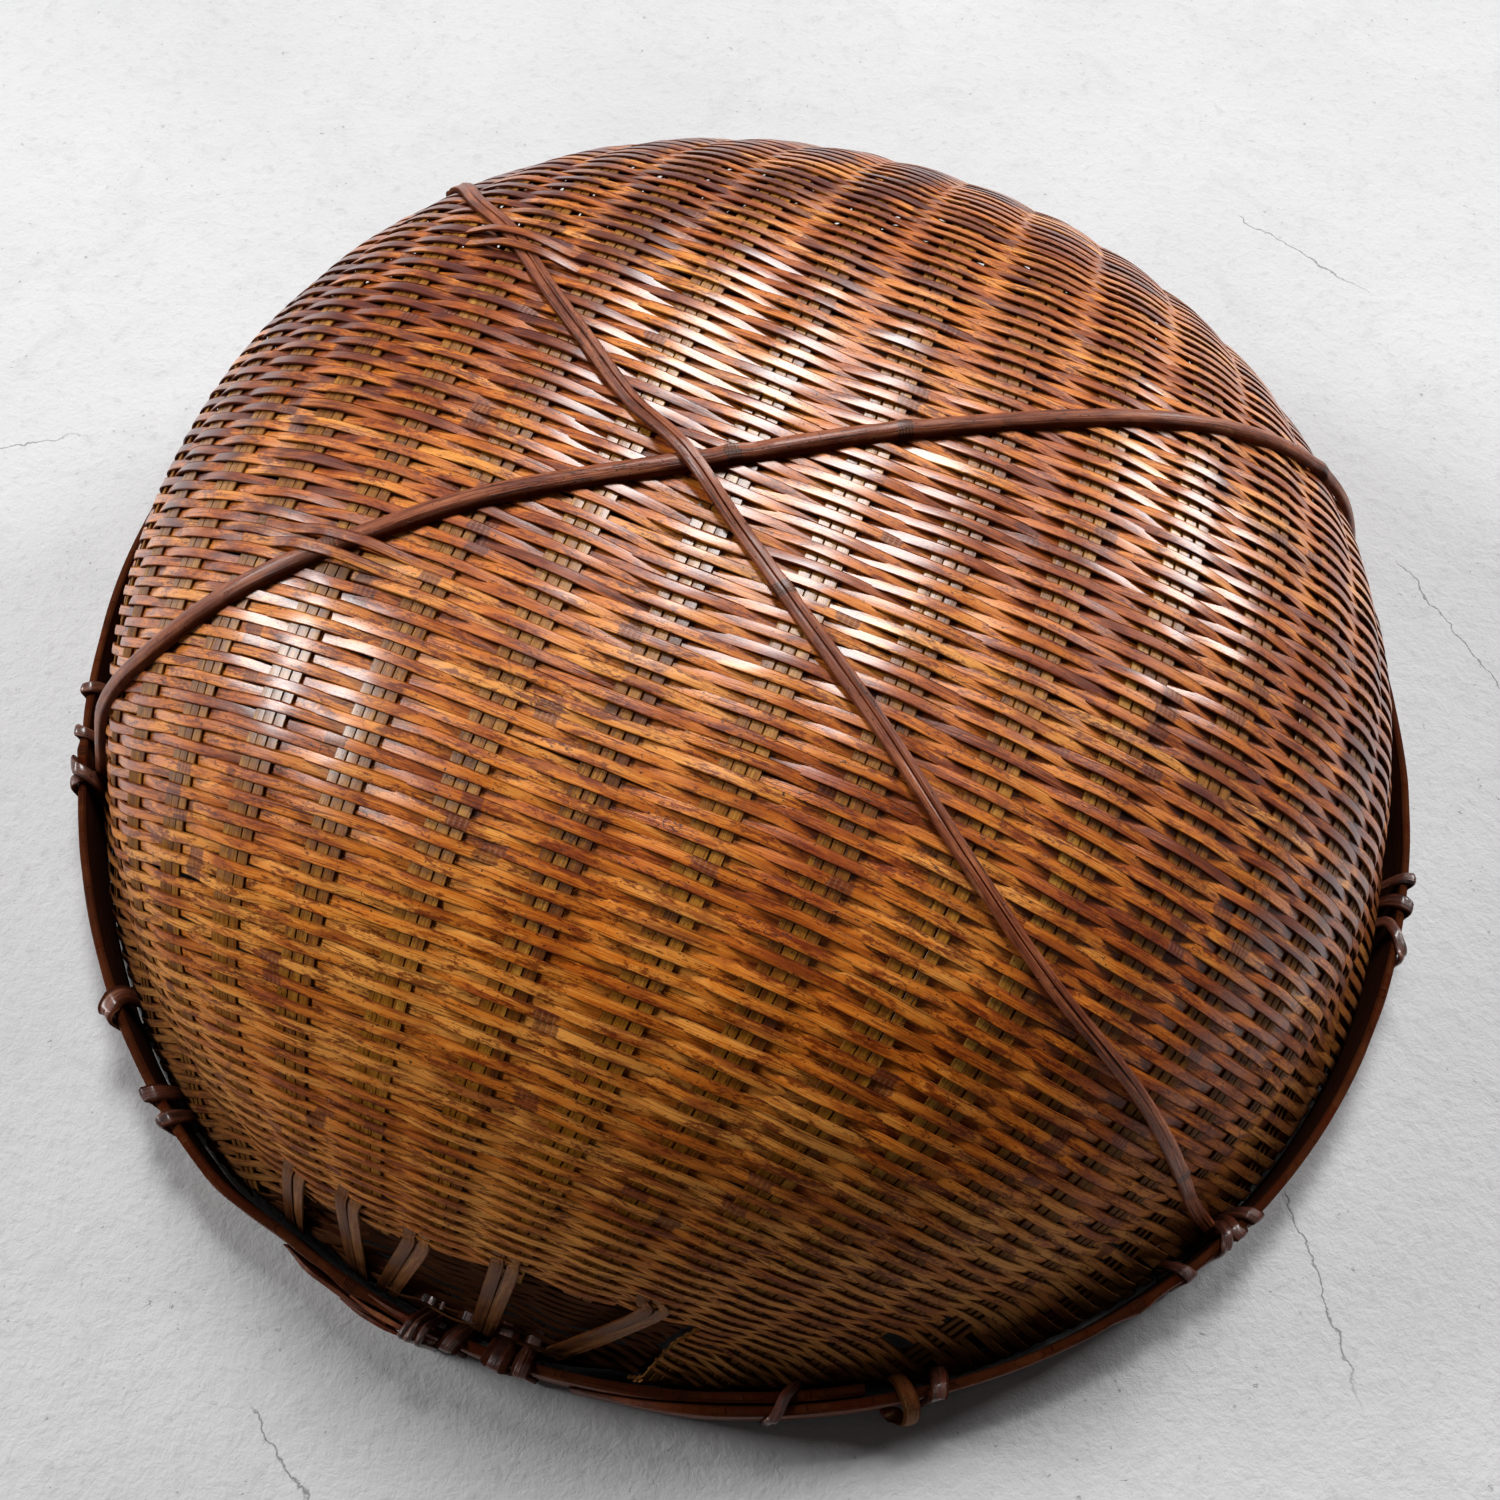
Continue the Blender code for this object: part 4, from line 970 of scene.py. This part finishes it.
# Place, slant and width of each lashing
LASHINGS = (
    ("lashing_front_1", -106.7, 0.7, 0.0070), ("lashing_front_2", -103.3, 0.3, 0.0084),
    ("lashing_front_3", -101.4, 0.3, 0.0056), ("lashing_front_4", -83.8, 2.4, 0.0038),
    ("lashing_front_5", -71.9, 0.4, 0.0066), ("lashing_right_1", -18.9, 3.4, 0.0046),
    ("lashing_right_2", -14.2, 0.6, 0.0052), ("lashing_right_3", -11.4, -0.3, 0.0050),
    ("lashing_left_1", -143.5, -1.4, 0.0076), ("lashing_left_2", -136.6, 0.8, 0.0066),
    ("lashing_left_3", -134.2, 0.7, 0.0058), ("lashing_back_1", 60.0, 0.5, 0.0046),
    ("lashing_back_2", 95.0, -0.4, 0.0046), ("lashing_back_3", 160.0, 0.4, 0.0046),
)
LASHING_THICKNESS = 0.0016
for number, (name, degrees, slant, width) in enumerate(LASHINGS):
    seed = 0.30 + 0.4 * ((number * 37) % 11) / 11
    tie(name, wrap(degrees, slant, width, seed, thick=LASHING_THICKNESS))

# Place, seed, stand-off and lift of the turns that bind the splint
BINDING = ((-110.0, 0.32, 0.0022, 0.0036), (-109.3, 0.52, 0.0022, 0.0040), (-108.6, 0.38, 0.0020, 0.0036))
tie("splint_binding", *(wrap(way, 0.3, 0.0024, seed, out=out, raised=raised)
                        for way, seed, out, raised in BINDING))

# Place of each knot's strap, places of its turns, and the strap's slant and height over the stick
KNOTS = (
    ("knot_stick_a_front", -48.0, (-51.1, -46.2, -44.2), 1.4, 0.0006),
    ("knot_stick_a_back", 131.0, (128.4, 133.6), -1.0, 0.0006),
    ("knot_stick_b_left", -166.4, (-173.6, -169.6, -164.6), 2.2, 0.0022),
    ("knot_stick_b_right", 17.0, (14.2, 19.8), 1.0, 0.0016),
)
for number, (name, degrees, turns, slant, under) in enumerate(KNOTS):
    for turn, way in enumerate(turns, start=1):
        tie(f"{name}_turn_{turn}", wrap(way, 0.6 * (-1) ** turn, 0.0050, 0.3 + 0.05 * (number * 3 + turn)))
    tie(f"{name}_strap", wrap(degrees, slant, 0.0046, 0.35 + 0.1 * number, under, raised=0.0004))

# A loose end that comes over the hoop and curls under itself
CURL = (
    (0.2515, -74.3, 0.0170), (0.2528, -74.2, 0.0236), (0.2556, -74.0, 0.0276), (0.2598, -73.8, 0.0278),
    (0.2632, -73.7, 0.0240), (0.2654, -73.7, 0.0172), (0.2658, -73.8, 0.0104), (0.2644, -74.1, 0.0056),
    (0.2622, -74.5, 0.0040), (0.2606, -74.9, 0.0060), (0.2606, -75.1, 0.0092), (0.2622, -75.0, 0.0112),
)
CURL_DEGREES = -73.9
CURL_WIDTH = 0.0056
CURL_THICKNESS = 0.0013
path = curve(at_rim(*np.array(CURL).T), 8)
t = np.linspace(0, 1, len(path))
single("curl_strip", bare_look, "rattan", "loose_curl", ribbon(path, CURL_DEGREES, 40),
       CURL_WIDTH * (1 - 0.35 * ease((t - 0.75) / 0.25)), CURL_THICKNESS, run_of(path), 0.72,
       (0.2, 0.1, 0.7 * (1 - ease(t / 0.6)), 0.8), DOMED,
       uneven(np.random.default_rng(12), len(path), 0.00008, 4.0, DOMED))


# Sticks sprung over the dome: shares of the way to the edge and degrees of the places they pass
STICK_A_SHARES = (0.89, 0.80, 0.66, 0.560, 0.475, 0.388, 0.284, 0.204, 0.130, 0.070,
                  0.085, 0.167, 0.281, 0.409, 0.530, 0.660, 0.745, 0.82, 0.90)
STICK_A_DEGREES = (128.0, 128.6, 129.6, 131.2, 133.7, 135.6, 141.2, 148.1, 162.1, 196.3,
                   -100.9, -75.7, -65.8, -61.3, -57.6, -53.2, -51.3, -49.9, -48.2)
STICK_A_ENDS = (127.5, -46.6)
STICK_A_WIDTHS = (0.0066, 0.0064, 0.0056, 0.0050, 0.0052)
STICK_A_THICKNESS = 0.0019
STICK_A_NODES = (0.11, 0.385, 0.62)
STICK_B_SHARES = (0.89, 0.78, 0.698, 0.601, 0.464, 0.355, 0.246, 0.114, 0.025,
                  0.084, 0.212, 0.376, 0.556, 0.66, 0.80, 0.89)
STICK_B_DEGREES = (-166.6, -164.6, -163.0, -161.8, -162.0, -162.2, -163.5, -163.9, -167.7,
                   20.6, 17.8, 17.6, 17.4, 17.2, 17.0, 17.0)
STICK_B_ENDS = (-167.6, 17.0)
STICK_B_WIDTHS = (0.0062, 0.0066, 0.0066, 0.0060, 0.0056)
STICK_B_THICKNESS = 0.0030
STICK_B_NODES = (0.195, 0.318, 0.372, 0.545)
STICK_B_LIFT = 0.0017
STICK_B_LEAVES = 34
STICK_B_SEAT = (-166.2, 0.0190)
END_SHARE = float(np.interp(-0.013, -ARC_HEIGHT, ARC)) / LENGTH
CROSSING = (0.070 * math.cos(math.radians(196.3)) * LENGTH, 0.070 * math.sin(math.radians(196.3)) * LENGTH)


def route(shares, degrees, ends, steps=14):
    """Map points of a smooth line through places over the dome and down to the rim at both ends."""
    shares = np.array([END_SHARE, *shares, END_SHARE]) * LENGTH
    way = np.radians([ends[0], *degrees, ends[1]])
    return curve(np.stack([shares * np.cos(way), shares * np.sin(way)], 1), steps)


def half_round(count):
    """A split rod's section: flat below, arched above."""
    turn = np.linspace(math.radians(-12), math.radians(192), count)
    arch = [(math.cos(math.pi - t), 1.0 * max(math.sin(t), -0.2) - 0.5) for t in turn]
    return tuple(arch) + ((0.75, -0.74), (0.0, -0.76), (-0.75, -0.74))


def stick(name, replaced, points, lift, widths, thickness, section, nodes, seed, groove=None, seat=None):
    """A stick along map points, split along a groove; its start can leave the dome for a seat."""
    rng = np.random.default_rng(seed)
    count = len(points)
    path = on_map(points[:, 0], points[:, 1], lift)
    outward = on_map(points[:, 0], points[:, 1], lift + PROBE) - path
    if seat is not None:
        steps = np.arange(STICK_B_LEAVES, -1, -1)
        t = column(np.arange(len(steps)) / (len(steps) - 1))
        slope = (path[STICK_B_LEAVES] - path[STICK_B_LEAVES + 1]) * len(steps)
        way = seat - path[STICK_B_LEAVES]
        path[steps] = path[STICK_B_LEAVES] + way * t + (slope - way) * t * (1 - t) ** 2
    line = follow(path, outward, wander(rng, count, 0.05, 25.0))
    along = run_of(path)
    off = node_distance(along, nodes)
    swell = np.exp(-(off / 0.0035) ** 2)
    neck = np.exp(-((np.abs(off) - 0.007) / 0.0025) ** 2)
    width = np.interp(np.linspace(0, 1, count), np.linspace(0, 1, len(widths)), widths)
    width = width * (1 + wander(rng, count, 0.03, 16.0)) * (1 + 0.12 * swell - 0.05 * neck)
    over, up = np.array(section).T
    rough = uneven(rng, count, 0.00010, 9.0, section) + (up > 0) * column(0.0004 * swell - 0.0001 * neck)
    if groove is not None:
        fill = (1 - groove(along)) * thickness * 0.34
        rough = rough + ((np.abs(over) <= 0.05) & (up > 0)) * column(fill)
    single(name, stick_look, "stick", replaced, line, width, thickness, along, 0.45,
           (off * 1.6, 0.15, 0.1, 0.5), section, rough)


def split_at(along):
    """How far stick_a is split at each place along it."""
    return ease((along - 0.14) / 0.05) * (1 - ease((along - 0.52) / 0.08))


seat_way, seat_height = STICK_B_SEAT
stick("stick_b_rod", "stick_b", route(STICK_B_SHARES, STICK_B_DEGREES, STICK_B_ENDS), STICK_B_LIFT,
      STICK_B_WIDTHS, STICK_B_THICKNESS, half_round(15), STICK_B_NODES, 21,
      seat=at_rim(float(hoop_inside(math.radians(seat_way))) - 0.0024, seat_way, seat_height))
points_a = route(STICK_A_SHARES, STICK_A_DEGREES, STICK_A_ENDS)
off = np.hypot(points_a[:, 0] - CROSSING[0], points_a[:, 1] - CROSSING[1])
stick("stick_a_rod", "stick_a", points_a, 0.0008 + 0.0037 * (1 - ease((off - 0.006) / 0.028)),
      STICK_A_WIDTHS, STICK_A_THICKNESS, SPLIT_SECTION, STICK_A_NODES, 22, split_at)

# Wefts that leave the weave, pass over a stick and go back under their neighbours
OVER_DEPTH = 0.0011
OVER_REACH = np.linspace(-1.1, 1.1, 45)
WEFTS_OVER = (
    ("a_1", 0.377, 135.8, 0.0026, 0.42), ("a_2", 0.350, 137.5, 0.0026, 0.55),
    ("b_1", 0.374, -162.0, 0.0036, 0.48), ("b_2", 0.402, -161.8, 0.0036, 0.60),
)
numbers = np.arange(WARP_SPAN[0], WARP_SPAN[1], WARP_STEP / 2)
away = np.abs(OVER_REACH)
for name, share, degrees, clear, seed in WEFTS_OVER:
    way = math.radians(degrees)
    a, b, _, _ = weave_place(share * LENGTH * math.cos(way), share * LENGTH * math.sin(way))
    weft, warp = (terms(table, np.array([a]), np.array([b]))[0][0] for table in (WEFT_TERMS, WARP_TERMS))
    x, y = trace(np.full((1, len(numbers)), weft), numbers[None, :])
    x, y = (np.interp(warp + OVER_REACH, numbers, line[0]) for line in (x, y))
    lift = -OVER_DEPTH + (clear + OVER_DEPTH) * (1 - ease((away - 0.12) / 0.7))
    line = frames(x, y, lift)
    single("weft_strip_" + name, weft_look, "weave", "weft_over_stick_" + name, line, WEFT_SPREAD,
           WEFT_THICKNESS, run_of(line[0]), seed, (0.2, 0.45, 0.0, 1 - ease((away - 0.3) / 0.5)))

# Bare warps: pairs that leave the worn edge and run down to the hoop
BARE_PAIRS = (
    (0.839, -121.5, -121.8), (0.804, -116.1, -115.6), (0.805, -110.3, -113.2),
    (0.781, -103.3, -105.3), (0.801, -92.5, -100.6),
)
BARE_THICKNESS = 0.0009
for number, (share, degrees, rim_degrees) in enumerate(BARE_PAIRS, start=1):
    for hand, word in ((-1, "left"), (1, "right")):
        rng = np.random.default_rng(60 + number * 2 + hand)
        corners, outward = [], []
        for place, lift in ((share - 0.028, -0.0024), (share - 0.006, -0.0012), (share + 0.010, 0.0002)):
            radius = float(np.interp(place * LENGTH, ARC, ARC_RADIUS))
            way = math.radians(degrees + 57.3 * hand * 0.0024 / radius)
            spot = (np.array([place * LENGTH * math.cos(way)]), np.array([place * LENGTH * math.sin(way)]))
            corners.append(on_map(*spot, lift)[0])
            outward.append(on_map(*spot, lift + PROBE)[0] - corners[-1])
        way = rim_degrees + 57 * hand * 0.0021 / RIM_RADIUS
        radial = 0.002 * np.array([math.cos(math.radians(way)), math.sin(math.radians(way)), 0.35])
        seat = at_rim(float(hoop_inside(math.radians(way))) - 0.0022, way, 0.0130)
        corners += [corners[-1] * 0.5 + seat * 0.5 + radial * 0.25, seat]
        outward += [radial, radial]
        path = curve(corners, 10)
        count = len(path)
        t = np.linspace(0, 1, count)
        line = follow(path, curve(outward, 10), 0.06 * hand + wander(rng, count, 0.04, 9.0))
        rough = uneven(rng, count, 0.00008, 6.0)
        width = (0.0047 - 0.0006 * t) * (1 + wander(rng, count, 0.03, 6.0))
        single(f"bare_strip_{number}_{word}", bare_look, "warp", f"bare_warp_{number}_{word}", line, width,
               BARE_THICKNESS, run_of(path), 0.58 + 0.12 * hand,
               (0.2, 0.12, 0.05 + 0.75 * ease((t - 0.6) / 0.4), 0.3), FLAT, rough)


# Floor of grey plaster, with painted shade under the basket where no light comes in
FLOOR_REACH = 6
FLOOR_PAINTED_SHADE = (0.2525, 0.2560)
CRACKS = (
    (0.2078, -0.1641, 0.228, -0.2389),
    (-0.4028, 0.073, -0.298, 0.1157),
    (0.2787, 0.1163, 0.3305, 0.0334),
    (0.2199, 0.3239, 0.2893, 0.2747),
    (-0.1372, -0.2673, -0.1031, -0.3097),
)
floor_mesh = bpy.data.meshes.new("floor")
corners = [(x * FLOOR_REACH, y * FLOOR_REACH, 0) for x, y in ((-1, -1), (1, -1), (1, 1), (-1, 1))]
floor_mesh.from_pydata(corners, [], [(0, 1, 2, 3)])
floor = bpy.data.objects.new("floor", floor_mesh)
bpy.context.scene.collection.objects.link(floor)
look = Look(bpy.data.materials.new("plaster"))
place = look.node("TexCoord").outputs["Object"]
cloud = look.noise(place, 3.0, 5.0, 0.6)
fine = look.noise(place, 520.0, 3.0, 0.7)
grainy = look.noise(place, 170.0, 4.0, 0.65, 0.3)
trowel = look.noise(place, 26.0, 6.0, 0.72, 1.4)
pits = look.noise(place, 300.0, 3.0, 0.6, 0.2)
look.colour = srgb(199, 199, 200)
look.paint(look.between(cloud, 0.3, 0.7), (213, 213, 214))
look.paint(look.between(trowel, 0.50, 0.72, 0.0, 0.30), (182, 182, 184))
look.paint(look.between(grainy, 0.56, 0.70, 0.0, 0.35), (176, 176, 178))
spots = look.times(look.between(pits, 0.66, 0.70), look.between(trowel, 0.50, 0.60))
look.paint(look.times(spots, 0.5), (120, 120, 122))
parts = look.node("SeparateXYZ", {"Vector": place}).outputs
stray = look.between(look.noise(place, 60.0, 5.0, 0.6), 0.2, 0.8, -0.004, 0.004)
crack = 0.0
for x0, y0, x1, y1 in CRACKS:
    run = math.hypot(x1 - x0, y1 - y0)
    dx, dy = (x1 - x0) / run, (y1 - y0) / run
    forth = look.times_plus(parts["Y"], dy, -(x0 * dx + y0 * dy))
    forth = look.times_plus(parts["X"], dx, forth)
    aside = look.times_plus(parts["Y"], -dx, x1 * -dy + y1 * dx)
    aside = look.size(look.plus(look.times_plus(parts["X"], dy, aside), stray))
    inside = look.times(look.between(forth, 0.0, 0.004), look.between(forth, run * 0.7, run, 1.0, 0.0))
    crack = look.larger(crack, look.times(look.between(aside, 0.00015, 0.0005, 1.0, 0.0), inside))
look.paint(look.times(crack, 0.65), (96, 96, 98))
away = look.node("VectorMath", {0: place}, operation="LENGTH").outputs["Value"]
# Painted shade on the floor under the basket, out to just inside the hoop
look.paint(look.between(away, *FLOOR_PAINTED_SHADE, 0.90, 0.0), (30, 26, 24))
height = look.plus(look.plus(look.times(fine, 0.6), look.times(trowel, 1.1)), look.times(grainy, 1.4))
height = look.minus(height, look.times_plus(crack, 0.4, look.times(spots, 0.8)))
floor_mesh.materials.append(look.finish(look.between(fine, 0.3, 0.7, 0.75, 0.9),
                                        look.bump(height, 0.5, 0.0010), {"Specular IOR Level": 0.2}))


def matrix(right, up, back, at):
    """A placing from three axes and a point."""
    rows = np.stack([right, up, back, at], 1)
    return Matrix([*rows.tolist(), (0, 0, 0, 1)])


# Camera at the photograph's place
CAMERA_AT = (0.000936, -0.282809, 0.521634)
CAMERA_DOWN = math.radians(62.5805)
CAMERA_ROLL = math.radians(5.9115)
camera = bpy.data.objects.new("camera", bpy.data.cameras.new("camera"))
bpy.context.scene.collection.objects.link(camera)
forward = np.array([0.0, math.cos(CAMERA_DOWN), -math.sin(CAMERA_DOWN)])
up = np.array([0.0, math.sin(CAMERA_DOWN), math.cos(CAMERA_DOWN)])
right = np.array([1.0, 0.0, 0.0])
camera.matrix_world = matrix(math.cos(CAMERA_ROLL) * right + math.sin(CAMERA_ROLL) * up,
                             -math.sin(CAMERA_ROLL) * right + math.cos(CAMERA_ROLL) * up,
                             -forward, CAMERA_AT)
camera.data.lens = 34.77
camera.data.sensor_width = 36.0
camera.data.clip_start = 0.02
bpy.context.scene.camera = camera


def lamp(name, azimuth, elevation, distance, size, power):
    """A soft lamp that looks at the basket."""
    data = bpy.data.lights.new(name, "AREA")
    data.shape = "RECTANGLE"
    data.size, data.size_y = size
    data.energy = power
    lit = bpy.data.objects.new(name, data)
    bpy.context.scene.collection.objects.link(lit)
    az, el = math.radians(azimuth), math.radians(elevation)
    away = np.array([math.cos(el) * math.cos(az), math.cos(el) * math.sin(az), math.sin(el)])
    across = round_rim(azimuth)
    lit.matrix_world = matrix(across, np.cross(away, across), away, away * distance)


lamp("back_lamp", 92.0, 56.0, 5.0, (1.28, 1.54), 198.0)
lamp("left_lamp", 175.0, 33.0, 2.1, (0.62, 0.46), 24.0)
lamp("right_lamp", 36.0, 32.0, 2.1, (0.64, 0.42), 21.0)

# A dim even world, brighter where it is seen directly, through glass or in a gloss
WORLD_LEVEL = 0.035
WORLD_SEEN = (("Is Camera Ray", 0.58), ("Is Transmission Ray", 0.58), ("Is Glossy Ray", 0.15))
bpy.context.scene.world = bpy.data.worlds.new("studio")
look = Look(bpy.context.scene.world)
background = look.tree.nodes["Background"]
look.put(background.inputs["Color"], (1.0, 1.0, 1.0))
rays = look.node("LightPath").outputs
level = WORLD_LEVEL
for ray, more in WORLD_SEEN:
    level = look.times_plus(rays[ray], more, level)
look.put(background.inputs["Strength"], level)
bpy.context.scene.view_settings.view_transform = "Standard"
